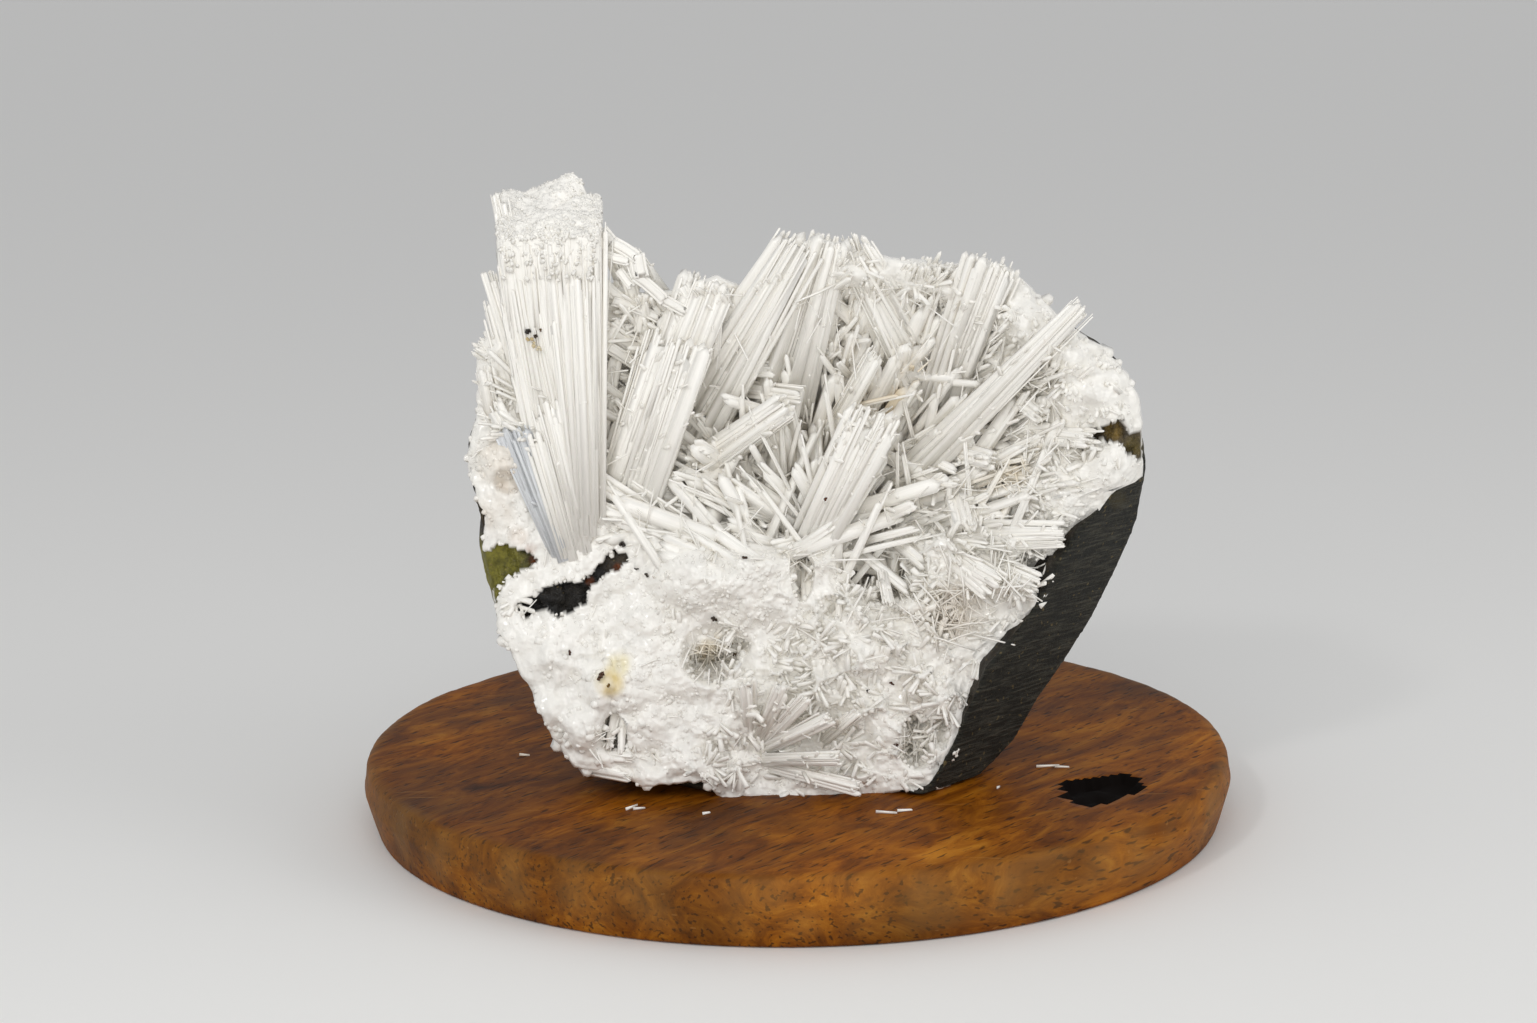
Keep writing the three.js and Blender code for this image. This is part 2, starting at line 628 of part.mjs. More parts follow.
const fatBasalt = () => basaltBody(GAP, makeRandom(11));

function buildCrust() {
  const random = makeRandom(23);
  const parts = [crustBed()];
  for (const [a, b, depth, radius] of LUMPS) {
    parts.push(blob(a, b, depth + 2, { across: radius, depth: radius * 0.7, up: radius * 0.9 }, 0));
  }
  let crust = joined(parts);
  for (const { a, b, across, up, depth } of POCKETS) {
    crust = crust.subtract(blob(a, b, crustFace(a, b), { across, depth, up }, 0));
  }
  const crystals = [
    ...SHEAVES.flatMap((row) => sheaf(row, random)),
    ...CRYSTALS.map((row) => seenCrystal(row)),
    ...hollowCrystals(random),
    ...faceCrystals(random),
    ...rimCrystals(random),
  ];
  crust = crust.add(joined(crystals));
  for (const outline of OPENINGS) {
    crust = crust.subtract(openingCutter(outline));
  }
  crust = crust.subtract(fatBasalt()).subtract(sawBlock(-0.01)).subtract(standBlock());
  crust = crust.subtract(joined(columnParts(SOCKET_GAP, makeRandom(37))));
  return largestPiece(crust);
}

function buildColumn() {
  const column = joined(columnParts(0, makeRandom(37)));
  return largestPiece(column.subtract(fatBasalt()));
}

function buildStand() {
  const profile = [
    [0, 0], [STAND.footRadius, 0], [STAND.footRadius + 1.5, 1.5],
    [STAND.ridgeRadius, STAND.ridgeHeight], [STAND.shoulderRadius, STAND.height - 1.6],
    [STAND.topRadius, STAND.height], [0, STAND.height],
  ].map(([radius, height]) => new THREE.Vector2(radius, height));
  const turned = new THREE.LatheGeometry(profile, STAND.sides);
  turned.rotateX(Math.PI / 2);
  return solidFromGeometry(turned);
}

const SIMPLIFY = 0.2;

function namedMesh(name, solid, color, roughness) {
  const material = new THREE.MeshStandardMaterial({ color, roughness, metalness: 0, flatShading: true });
  const mesh = new THREE.Mesh(geometryFromSolid(largestPiece(solid.simplify(SIMPLIFY))), material);
  mesh.name = name;
  return mesh;
}

const geode = new THREE.Group();
geode.rotation.x = -FACE_LEAN;
geode.position.set(0, FACE_FOOT_Y, STAND.height);
geode.add(namedMesh('basalt_rind', buildBasalt(), 0x2c2c28, 0.85));
geode.add(namedMesh('scolecite_crust', buildCrust(), 0xf1f0ee, 0.35));
geode.add(namedMesh('tall_scolecite_column', buildColumn(), 0xf4f3f1, 0.32));

const part = new THREE.Group();
part.add(geode);
part.add(namedMesh('wooden_stand', buildStand(), 0x8a5216, 0.55));

export default part;
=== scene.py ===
"""Scolecite geode on a turned wooden stand: crystals, rock, board and studio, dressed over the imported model."""

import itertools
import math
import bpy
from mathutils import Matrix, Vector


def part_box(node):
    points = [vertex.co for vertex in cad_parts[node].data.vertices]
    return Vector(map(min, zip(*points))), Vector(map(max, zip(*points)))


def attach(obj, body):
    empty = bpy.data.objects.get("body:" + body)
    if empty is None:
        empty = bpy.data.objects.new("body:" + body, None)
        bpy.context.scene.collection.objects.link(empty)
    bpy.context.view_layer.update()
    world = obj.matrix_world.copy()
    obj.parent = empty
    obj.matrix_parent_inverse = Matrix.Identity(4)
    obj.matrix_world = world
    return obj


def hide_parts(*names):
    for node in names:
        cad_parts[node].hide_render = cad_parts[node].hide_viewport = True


bl_info = {
    "name": "Scolecite geode",
    "version": (1, 0, 0),
    "blender": (4, 5, 0),
    "location": "View3D > Sidebar > Geode",
    "description": "Grows a scolecite geode in its basalt rind and turns the wooden stand under it",
    "category": "Add Mesh",
}

import bpy
import numpy as np
from bpy.props import FloatProperty, FloatVectorProperty, IntProperty, PointerProperty
from mathutils import Matrix, Vector

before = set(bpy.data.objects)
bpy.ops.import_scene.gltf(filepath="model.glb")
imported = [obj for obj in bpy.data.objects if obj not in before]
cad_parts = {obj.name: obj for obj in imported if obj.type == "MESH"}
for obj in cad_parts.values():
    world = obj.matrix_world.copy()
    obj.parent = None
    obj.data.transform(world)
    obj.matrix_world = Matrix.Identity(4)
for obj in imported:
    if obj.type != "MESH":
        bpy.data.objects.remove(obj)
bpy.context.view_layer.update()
STAND_LOW, STAND_HIGH = (Vector(corner) * 1000.0 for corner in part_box("wooden_stand"))

# The face frame, in mm: across the open face, up the face, and into the rock
MM = 0.001
FACE_LEAN = math.radians(8.0)
FACE_FOOT_Y = -72.0
STAND_TOP = STAND_HIGH.z
EYE = np.array([-9.0, 168.0, -1035.0])
HUB = np.array([0.0, 88.0])
RIM_DEPTH = 7.0
SAW_SIDE_RIM_DEPTH = -4.0
HOLLOW_DEPTH = 66.0

# Outline of the white crust on the open face, clockwise from the right
CRUST_OUTLINE = [
    (113, 103), (113, 120), (111.5, 131), (107, 139), (100, 146), (92, 152), (84, 158), (79, 164),
    (72.5, 170), (62, 173.5), (48, 174), (34, 175.5), (22, 178.5), (10, 179), (0, 176), (-9, 170),
    (-16, 167.5), (-24, 170.5), (-34, 166.5), (-46, 165.5), (-58, 168), (-72, 168), (-86, 165),
    (-96, 158), (-102, 149), (-101.5, 138), (-102.5, 128), (-105.3, 118), (-104.8, 106), (-100.5, 95),
    (-101.5, 87), (-100, 76), (-98, 66), (-95.5, 55), (-89, 43), (-84, 34), (-79, 22), (-73, 12.5),
    (-60, 10), (-51, 5.5), (-38, 6.5), (-30, 6.5), (-25, 0.5), (-12, -0.5), (0, 0), (18, 0.5),
    (34, 2), (50.5, 2.5), (52, 13.5), (57, 27), (59.5, 40), (65, 46), (75.5, 54.5), (82.7, 65),
    (86.5, 75), (93, 86), (98.5, 93), (104, 100),
]

# Outer edge of the sawn side, from the foot up
SAWN_SIDE_EDGE = [
    (44, -3), (52, 1.5), (61, 7.5), (70, 14.7), (79.5, 31), (90, 45), (101, 62), (106.3, 76),
    (110.8, 88), (113.5, 98), (114, 112),
]

# The saw cut: a point on it, the way it faces across the open face, and its slope into the rock
SAW_POINT = (65.0, 45.5)
SAW_FACING = (0.855, -0.52)
SAW_SLOPE = 1.33

# Broad dips and swells of the crust's face: centre, radii across and up, depth there, and power
DIPS = [
    (4, 125, 86, 47, 31, 1), (27, 75, 17, 15, 13, 1), (64, 95, 19, 11, 9, 1), (-26, 48, 13, 11, 7, 1),
    (2, 22, 22, 13, 4, 1), (-10, 74, 42, 20, -6, 2), (-72, 32, 20, 18, -3, 2),
]

# Deep pockets between the crystals: centre, radii across and up, and depth
POCKETS = [
    (21, 77, 5, 10, 22), (30, 72, 6, 9, 24), (2, 76, 4, 11, 12), (12, 63, 6, 4, 7), (-60, 23, 4, 7, 14),
    (39, 18, 6, 9, 16), (-28, 45, 9, 6, 12), (78, 75, 7, 6, 10), (-55, 133, 6, 14, 16),
    (47, 22, 3, 6, 9), (57, 92, 7, 5, 9), (-19, 50, 4, 3, 6), (-93, 106, 5, 4, 4),
]

# Places where dark rock comes up through the crust: centre, radius and depth of the rock there
ROCK_KNOBS = [(-74, 69, 15, 11), (-97, 79, 12, 3), (101, 110, 13, 8)]

# Openings in the crust down to that rock
OPENINGS = [
    [(-92.5, 64.5), (-87, 68.5), (-80, 71.8), (-69, 73.5), (-62, 80), (-59, 82.5), (-55, 82), (-54, 79.5),
     (-57, 76.2), (-63, 74.5), (-68, 70), (-69, 66), (-74, 62), (-84, 63), (-89, 61.5)],
    [(-108, 80), (-99.3, 83.5), (-96, 85.1), (-92.4, 85.6), (-89, 84), (-86, 82.5), (-84.4, 80), (-85.6, 78),
     (-89, 77), (-92, 75.3), (-95.3, 73), (-97, 70.8), (-98, 66), (-108, 63)],
    [(89.3, 108.5), (90.7, 115), (94.8, 118.2), (100, 122), (106.3, 123.4), (108.4, 119.2), (115, 118.5),
     (115, 111), (109.3, 111.2), (106.1, 115.5), (100.9, 116.6), (96, 115.5), (91.7, 111.4)],
]

# Rounded lumps of druse: centre, depth, and radius
LUMPS = [
    (-82, 30, 2, 8), (-70, 24, 1, 9), (-64, 40, 0, 8), (-80, 47, 1, 8), (-46, 9, 1, 7), (-36, 14, 1, 7),
    (-29, 50, -2, 5), (-50, 58, 0, 9), (-34, 74, -4, 11), (-4, 62, -2, 8), (22, 46, 0, 9),
    (40, 52, 0, 9), (30, 22, 1, 8), (46, 34, 1, 6), (6, 90, 0, 9), (-97, 112, 3, 7),
    (-98, 97, 3, 7), (98, 108, 3, 8), (100, 134, 4, 8), (88, 146, 5, 8), (106, 122, 4, 7), (88, 95, 4, 7),
]

# Single crystals that stand out: foot and tip as (across, up, depth), and foot and tip width
CRYSTALS = [
    (28, 97, 16, 94, 160.5, -12, 10, 5.5), (-34, 108, 18, -2, 130, 3, 10, 8),
    (3, 106, 14, 27, 147, 6, 6, 4.5), (-12, 131, 30, 14, 162, 12, 7, 5.5),
    (-31, 137, 28, 3, 132, 10, 5, 4), (-33, 143, 26, -6, 141, 14, 5, 4),
    (-28, 102, 20, -29, 151, 12, 4, 3), (-44, 141, 26, -56, 171, 8, 5, 4),
    (-43, 143, 24, -60, 156, 5, 4, 3.5), (-42, 140, 24, -60, 131, 8, 4, 3.5),
    (-36, 158, 18, -52, 181, 5, 4, 3), (-50, 160, 14, -61, 186, 3, 4, 3),
    (-40, 158, 16, -48, 176, 6, 4, 3), (57, 122, 18, 96, 116.5, -2, 7, 5),
    (56, 86, 10, 87.5, 86, 0, 9, 7), (40, 87, 10, 67, 71, -3, 7, 5), (36, 90, 10, 63, 66, -2, 4, 3.5),
    (54, 80, 8, 79, 70, 0, 7, 5), (49, 110, 20, 55, 88, 3, 8, 7), (60, 142, 20, 80, 124, 3, 6, 5),
    (76, 120, 16, 80, 152, 5, 7, 5), (68, 140, 22, 47, 164, 12, 7, 6), (34, 148, 28, 44, 177, 11, 6, 2),
    (36, 118, 24, 64, 110, 4, 6, 5), (20, 126, 32, 46, 150, 12, 6, 5), (26, 87, 14, 30, 64, 0, 3, 2.5),
    (-16, 18, 3, -17, 40, -4, 3, 4.5), (-15, 18, 3, -5, 39, -6, 3, 4), (-14, 17, 3, 3, 35, -6, 3, 4),
    (-14, 16, 3, 11, 28, -6, 3, 3.5), (6, 18, 4, 20, 30, -5, 2.5, 3), (-14, 14, 3, 14, 14, -6, 3, 4),
    (-12, 13, 3, 21, 4, -5, 3, 4), (-58, 33, 5, -62, 18, 1, 1.8, 1.2), (-57, 33, 5, -58, 16, 0, 1.6, 1.1),
    (-55, 34, 5, -54, 17, 1, 1.8, 1.2), (-68, 17, 6, -54, 15, 0, 2.5, 2), (-68, 12, 6, -55, 9, 0, 2.5, 2),
    (-90, 143, 9, -103, 151, 2, 6, 5), (-95, 118, 9, -100, 143, -1, 6, 4.5),
    (27, 146, 20, 17, 183, 2, 10, 6), (34, 148, 20, 23, 177, 3, 7, 4), (-2, 150, 14, -3, 179, -1, 11, 1),
]

# Places where hair-fine needles criss-cross: across, up, radius and how many
NEEDLE_FANS = [
    (-20, 104, 16, 110), (28, 74, 14, 90), (50, 62, 15, 70), (66, 104, 14, 90), (-60, 22, 6, 24),
    (38, 17, 8, 36), (-28, 47, 9, 50), (2, 80, 7, 24), (-5, 110, 14, 60), (36, 140, 12, 50), (70, 75, 12, 60),
    (20, 125, 20, 80), (60, 125, 18, 70), (-40, 150, 12, 40),
]

# Sheaves that widen to a ragged top: foot, tip, foot width, tip width, thickness, how ragged, and shoots
SHEAVES = [
    ((-56, 97, 12), (-36, 152, 2), 19, 20, 8, 8, 1.2),
    ((-48, 118, 14), (-27, 171, 5), 14, 15, 9, 5, 0.9),
    ((-34, 122, 26), (3, 183, -1), 22, 12, 9, 4, 0.5),
    ((-4, 130, 26), (12, 183.5, -1), 20, 12, 8, 3, 0.5),
    ((46, 132, 26), (20, 181, 1), 20, 9, 7, 10, 0.6),
    ((46, 126, 22), (65, 176, -3), 13, 17, 9, 3, 0.4),
    ((5, 84, 12), (27, 128, 2), 13, 16, 8, 14, 2.2),
]

# The tall sheaf: centre, width and thickness at its foot and at its top
COLUMN_FOOT = (-71, 86, 10, 15, 10)
COLUMN_TOP = (-77.5, 191.5, -4, 33, 20)
COLUMN_RIGHT = -61.5
CROWN_RISE = 8.0

# Stains and specks as they show on the face: across, up, radius, colour and strength
STAINS = [
    (-61, 40, 5.5, "#E6C868", 0.8), (-58, 46, 5.0, "#EFE0A0", 0.6), (-29, 50, 4.5, "#EFE0C0", 0.7),
    (38, 140, 4.5, "#D8B564", 0.6), (34, 133, 3.5, "#D8B564", 0.5), (72, 108, 4.5, "#DDBE73", 0.45),
    (66, 104, 4, "#DDBE73", 0.35), (50, 62, 12, "#F1E6D6", 0.5), (-83, 151, 4.0, "#CDAA6A", 0.4),
    (-93, 106, 5.5, "#C9AE8C", 0.45), (-96, 113, 9, "#EFE3D2", 0.7), (-98, 96, 8, "#F0E4D4", 0.6),
    (-90, 88, 4, "#E3CDB8", 0.5), (-86, 84, 2.5, "#A9714C", 0.5),
]

# Dark specks of clay on the crystals: across, up, size, colour, and depth where it isn't the crust's own
SPECKS = [
    (-64, 42, 1.1, "#4A2A0E", None), (-61.5, 39, 0.7, "#7A5A1E", None), (-27, 60, 0.9, "#33230F", None),
    (-20, 49, 1.0, "#4E3C22", None), (-22, 52, 0.8, "#5B4A2C", None), (-74, 50, 0.7, "#4A2410", None),
    (10, 99, 0.7, "#5A2C10", -2.0), (-17, 80, 0.7, "#3A2410", None), (30.5, 38.5, 0.6, "#4A2410", None),
    (23, 36, 0.6, "#2A1810", None), (32, 18, 0.6, "#4A2410", None), (-56, 85, 1.0, "#241A12", None),
    (-49, 75, 0.7, "#3A2E20", None), (-52, 77, 0.5, "#3A2E20", None), (-78, 195, 0.5, "#5A3A18", -2.4),
    (-86, 154.5, 0.9, "#1E1408", -8.8), (-83, 153, 0.6, "#3A2810", -9.2), (-81.5, 155, 0.5, "#6A5030", -9.2),
    (-83.5, 150.5, 0.9, "#DCCBA4", -9.0), (-82, 149, 0.8, "#E6DABC", -9.0), (-85, 152, 0.8, "#D2BC8C", -8.8),
]


def rgb(code):
    """Linear RGB of a hex sRGB colour."""
    channels = [int(code[k:k + 2], 16) / 255.0 for k in (1, 3, 5)]
    return [c / 12.92 if c <= 0.04045 else ((c + 0.055) / 1.055) ** 2.4 for c in channels]


def rgba(code):
    """Linear RGBA of a hex sRGB colour."""
    return (*rgb(code), 1.0)


WHITE = np.array(rgb("#FFFCF5"))
COOL = np.array(rgb("#E9EBED"))
# Warm painted shade, mixed into the crust the deeper it lies in the hollow
DEEP_PAINTED_SHADE = np.array(rgb("#F6EDDF"))


def to_world(points):
    """Face-frame points in mm to the row frame in metres."""
    across, up, depth = np.moveaxis(np.asarray(points, float), -1, 0)
    sine, cosine = math.sin(FACE_LEAN), math.cos(FACE_LEAN)
    y = FACE_FOOT_Y + up * sine + depth * cosine
    z = STAND_TOP + up * cosine - depth * sine
    return np.stack([across, y, z], axis=-1) * MM


def to_face(points):
    """Row-frame points in metres to the face frame in mm."""
    x, y, z = np.moveaxis(np.asarray(points, float) / MM, -1, 0)
    y, z = y - FACE_FOOT_Y, z - STAND_TOP
    sine, cosine = math.sin(FACE_LEAN), math.cos(FACE_LEAN)
    return np.stack([x, y * sine + z * cosine, y * cosine - z * sine], axis=-1)


def seen(points):
    """Points at their depth that show over the face where their first two numbers say."""
    points = np.asarray(points, float)
    spread = -points[..., 2:3] / EYE[2]
    flat = points[..., :2] + (points[..., :2] - EYE[:2]) * spread
    return np.concatenate([flat, points[..., 2:3]], axis=-1)


def shown(points):
    """Where points of the face frame show over the face, the reverse of seen."""
    points = np.asarray(points, float)
    spread = -points[..., 2:3] / EYE[2]
    return (points[..., :2] + EYE[:2] * spread) / (1.0 + spread)


def smooth(low, high, value):
    """0 below low, 1 above high, with a smooth step between."""
    t = np.clip((value - low) / (high - low), 0.0, 1.0)
    return t * t * (3.0 - 2.0 * t)


def lattice(cells, seed):
    """A fixed number from 0 to 1 for each whole-number cell."""
    ix, iy, iz = np.moveaxis(cells, -1, 0)
    mixed = (ix * 374761393 + iy * 668265263 + iz * 1442695041 + seed * 974711) & 0xFFFFFFFF
    mixed = ((mixed ^ (mixed >> 13)) * 1274126177) & 0xFFFFFFFF
    return ((mixed ^ (mixed >> 16)) & 0xFFFFFF) / 0xFFFFFF


def noise_at(points, size, seed=0):
    """Smooth noise from -1 to 1, with bumps about size mm apart."""
    places = np.asarray(points, float) / size
    cells = np.floor(places).astype(np.int64)
    part = places - cells
    part = part * part * (3.0 - 2.0 * part)
    total = 0.0
    for corner in itertools.product((0, 1), repeat=3):
        weight = np.prod(np.where(np.array(corner) == 1, part, 1.0 - part), axis=-1)
        total = total + weight * lattice(cells + np.array(corner), seed)
    return 2.0 * total - 1.0


def outline_table(outline, closed, steps=1440):
    """Distance from the hub to an outline at even bearings; 0 where an open one doesn't reach."""
    bearings = np.linspace(0.0, 2.0 * math.pi, steps, endpoint=False)
    way = np.stack([np.cos(bearings), np.sin(bearings)], axis=-1)
    points = np.array(outline, float) - HUB
    ends = np.roll(points, -1, axis=0)
    if not closed:
        points, ends = points[:-1], ends[:-1]
    reach = np.zeros(steps)
    for start, end in zip(points, ends):
        side = end - start
        scale = way[:, 0] * side[1] - way[:, 1] * side[0]
        scale = np.where(np.abs(scale) < 1e-9, 1e-9, scale)
        distance = (start[0] * side[1] - start[1] * side[0]) / scale
        share = (start[0] * way[:, 1] - start[1] * way[:, 0]) / scale
        hit = (share >= 0) & (share <= 1) & (distance > 0)
        reach = np.where(hit, np.maximum(reach, distance), reach)
    return bearings, reach


CRUST_TABLE = outline_table(CRUST_OUTLINE, True)
SAWN_TABLE = outline_table(SAWN_SIDE_EDGE, False)


def radius_from(table, bearing):
    """The outline's distance from the hub at any bearing."""
    return np.interp(np.mod(bearing, 2.0 * math.pi), *table, period=2.0 * math.pi)


def share_out(across, up):
    """Share of the way from the hub to the crust's edge."""
    radius = np.hypot(across - HUB[0], up - HUB[1])
    return radius / radius_from(CRUST_TABLE, np.arctan2(up - HUB[1], across - HUB[0]))


def rim_depth(across, up):
    """The rim is set back under the crust, and comes forward where the sawn side leaves it bare."""
    bearing = np.arctan2(up - HUB[1], across - HUB[0])
    bare = np.clip((radius_from(SAWN_TABLE, bearing) - radius_from(CRUST_TABLE, bearing)) / 9.0, 0, 1)
    return RIM_DEPTH + (SAW_SIDE_RIM_DEPTH - RIM_DEPTH) * bare


def saw_depth(across, up):
    """Depth of the saw cut; the rock is kept where a point lies deeper."""
    outward = (across - SAW_POINT[0]) * SAW_FACING[0] + (up - SAW_POINT[1]) * SAW_FACING[1]
    return outward * SAW_SLOPE


def hollow_floor(across, up):
    """Depth of the rock's hollow behind the crust."""
    share = np.minimum(share_out(across, up), 1.0)
    rim = rim_depth(across, up)
    depth = rim + (HOLLOW_DEPTH - rim) * (1.0 - share ** 2.4) ** 0.75
    for a, b, radius, rock in ROCK_KNOBS:
        nearness = np.exp(-((across - a) ** 2 + (up - b) ** 2) / radius ** 2)
        depth = depth - np.maximum(depth - rock, 0.0) * np.minimum(nearness * 1.5, 1.0)
    return depth


def nearest_seed(across, up, size, seed):
    """Distance to the nearest of the points that are strewn about size mm apart, in units of size."""
    a, b = across / size, up / size
    cell_a, cell_b = np.floor(a).astype(np.int64), np.floor(b).astype(np.int64)
    nearest = np.full(np.shape(a), 9.0)
    for step_a, step_b in itertools.product((-1, 0, 1), repeat=2):
        cells = np.stack([cell_a + step_a, cell_b + step_b, 0 * cell_a], axis=-1)
        away = np.hypot(cell_a + step_a + lattice(cells, seed) - a, cell_b + step_b + lattice(cells, seed + 1) - b)
        nearest = np.minimum(nearest, away)
    return nearest


def bumps(across, up, size, seed):
    """Rounded bumps side by side, from 0 between them to 1 on top."""
    return np.sqrt(np.maximum(1.0 - (nearest_seed(across, up, size, seed) / 0.85) ** 2, 0.0))


def crust_face(across, up):
    """Depth of the crust's own face, with its dips, swells, pockets, pits and rounded bumps."""
    share = np.minimum(share_out(across, up), 1.0)
    depth = 4.5 + 3.0 * share ** 10
    for a, b, wide, high, deep, power in DIPS:
        off = ((across - a) / wide) ** 2 + ((up - b) / high) ** 2
        depth = depth + deep * np.maximum(1.0 - off, 0.0) ** power
    for a, b, wide, high, deep in POCKETS:
        off = ((across - a) / wide) ** 2 + ((up - b) / high) ** 2
        depth = depth + deep * np.sqrt(np.maximum(1.0 - off, 0.0))
    for a, b, lump_depth, size in LUMPS:
        off = ((across - a) / size) ** 2 + ((up - b) / size) ** 2
        depth = depth - 0.35 * size * np.maximum(1.0 - off, 0.0)
    depth = np.maximum(depth, saw_depth(across, up) + 1.0)
    flat = np.stack(np.broadcast_arrays(across, up, 0.0 * up), axis=-1)
    inner = 1.0 - 0.6 * smooth(0.9, 1.0, share)
    lower_left = (1.0 - smooth(-45.0, 10.0, across)) * (1.0 - smooth(60.0, 95.0, up))
    pitted = smooth(-30.0, 15.0, across + 0.5 * (60.0 - up)) * (1.0 - smooth(88.0, 100.0, up))
    depth = depth + inner * (3.0 * noise_at(flat, 19.0, 3) + 1.8 * noise_at(flat, 8.0, 4))
    rim_lumps = smooth(0.82, 0.9, share) * smooth(85.0, 110.0, up)
    depth = depth - (1.0 + 1.6 * lower_left + 1.8 * rim_lumps) * bumps(across, up, 8.5, 5)
    depth = depth - 1.6 * rim_lumps * bumps(across, up, 5.0, 15)
    depth = depth + inner * pitted * 4.5 * smooth(0.35, 0.8, bumps(across, up, 7.0, 11))
    glassy = glassy_share(across, up)
    depth = depth - 2.6 * glassy * bumps(across, up, 6.0, 21)
    return depth - (0.8 + 0.7 * glassy) * bumps(across, up, 3.2, 8)


def face_normal(across, up):
    """Unit vectors out of the crust's face, turned outward at its rim."""
    step = 0.8
    slope_a = (crust_face(across + step, up) - crust_face(across - step, up)) / (2 * step)
    slope_b = (crust_face(across, up + step) - crust_face(across, up - step)) / (2 * step)
    rim = 0.9 * smooth(0.93, 1.0, share_out(across, up))
    outward = np.stack([across, up], axis=-1) - HUB
    outward = outward / np.linalg.norm(outward, axis=-1, keepdims=True) * rim[..., None]
    normal = np.stack([slope_a + outward[..., 0], slope_b + outward[..., 1], -np.ones_like(slope_a)], axis=-1)
    return normal / np.linalg.norm(normal, axis=-1, keepdims=True)


def inside(polygon, across, up):
    """Whether points lie inside a polygon on the face."""
    within = np.zeros(np.shape(across), bool)
    for (a0, b0), (a1, b1) in zip(polygon, polygon[1:] + polygon[:1]):
        if b0 == b1:
            continue
        crosses = ((b0 > up) != (b1 > up)) & (across < (a1 - a0) * (up - b0) / (b1 - b0) + a0)
        within ^= crosses
    return within


def tinted(points, base=WHITE):
    """Colour of the crust at face-frame points: white, with painted shade that darkens and warms it deep in the hollow,
    and with its stains.
    """
    points = np.asarray(points, float)
    colour = np.broadcast_to(base, points.shape).copy()
    # Painted shade: the deeper the crust lies in the hollow, the darker and warmer its colour
    painted_shade = smooth(16.0, 48.0, points[..., 2])[..., None] * 0.8
    colour = colour * (1 - painted_shade) + colour * DEEP_PAINTED_SHADE * painted_shade
    flat = shown(points)
    for a, b, radius, code, strength in STAINS:
        distance = np.hypot(flat[..., 0] - a, flat[..., 1] - b) / radius
        edge = 0.35
        patchy = 0.75 + 0.5 * noise_at(points, 0.4 * radius, 71)
        weight = (strength * np.clip(patchy, 0, 1) * (1.0 - smooth(edge, 1.15, distance)))[..., None]
        colour = colour * (1 - weight) + np.array(rgb(code)) * weight
    return colour


class Growth:
    """Crystals and skins gathered into one mesh, with what their material reads at each corner."""

    def __init__(self):
        self.points, self.fibres, self.tints, self.quads, self.caps = [], [], [], [], []
        self.rock_faces = []
        self.count = 0

    def add(self, points, fibres, tints, quads=None, caps=None):
        """Adds points with their attributes, quads, and a list of faces that have any other count."""
        if quads is not None and len(quads):
            self.quads.append(np.asarray(quads) + self.count)
        for faces in caps or ():
            self.caps.append(np.asarray(faces) + self.count)
        self.points.append(np.asarray(points).reshape(-1, 3))
        self.fibres.append(np.asarray(fibres).reshape(-1, 3))
        self.tints.append(np.asarray(tints).reshape(-1, 3))
        self.count += len(self.points[-1])

    def build(self, name, material, world=False, smooth_faces=False, second=None):
        """Makes the object from everything gathered."""
        points = np.concatenate(self.points)
        if not world:
            points = to_world(points)
        groups = [np.concatenate(self.quads)] if self.quads else []
        groups += self.caps + self.rock_faces
        mesh = bpy.data.meshes.new(name)
        mesh.vertices.add(len(points))
        mesh.vertices.foreach_set("co", points.astype(np.float32).ravel())
        corners = np.concatenate([group.ravel() for group in groups]).astype(np.int32)
        counts = np.concatenate([np.full(len(group), group.shape[1]) for group in groups])
        mesh.loops.add(len(corners))
        mesh.loops.foreach_set("vertex_index", corners)
        mesh.polygons.add(len(counts))
        starts = np.concatenate([[0], np.cumsum(counts)[:-1]]).astype(np.int32)
        mesh.polygons.foreach_set("loop_start", starts)
        mesh.update(calc_edges=True)
        mesh.validate()
        for label, kind, values in (("fibre", "FLOAT_VECTOR", self.fibres), ("tint", "FLOAT_COLOR", self.tints)):
            data = np.concatenate(values).astype(np.float32)
            layer = mesh.attributes.new(label, kind, "POINT")
            if kind == "FLOAT_COLOR":
                data = np.concatenate([data, np.ones((len(data), 1), np.float32)], axis=1)
                layer.data.foreach_set("color", data.ravel())
            else:
                layer.data.foreach_set("vector", data.ravel())
        if smooth_faces:
            mesh.polygons.foreach_set("use_smooth", np.ones(len(counts), bool))
        mesh.materials.append(material)
        if self.rock_faces:
            mesh.materials.append(second)
            rock = np.zeros(len(counts), np.int32)
            rock[-sum(len(faces) for faces in self.rock_faces):] = 1
            mesh.polygons.foreach_set("material_index", rock)
        made = bpy.data.objects.new(name, mesh)
        bpy.context.scene.collection.objects.link(made)
        return made


def unit(vectors):
    """Vectors of length 1."""
    return vectors / np.maximum(np.linalg.norm(vectors, axis=-1, keepdims=True), 1e-9)


def prism_section(rng, many, sides, groove):
    """Corners of a square section and, between them, points set in to make lengthwise grooves."""
    each = sides // 4
    along = (np.arange(sides) % each) / each
    along = np.where(along > 0, along + rng.uniform(-0.3, 0.3, (many, sides)) / each, along)
    inset = np.where(np.arange(sides) % each > 0, groove * rng.random((many, sides)), 0.0)
    run, side = 2 * along - 1, 1.0 - inset
    x = np.choose(np.arange(sides) // each, [run, side, -run, -side])
    y = np.choose(np.arange(sides) // each, [-side, run, side, -run])
    return x, y


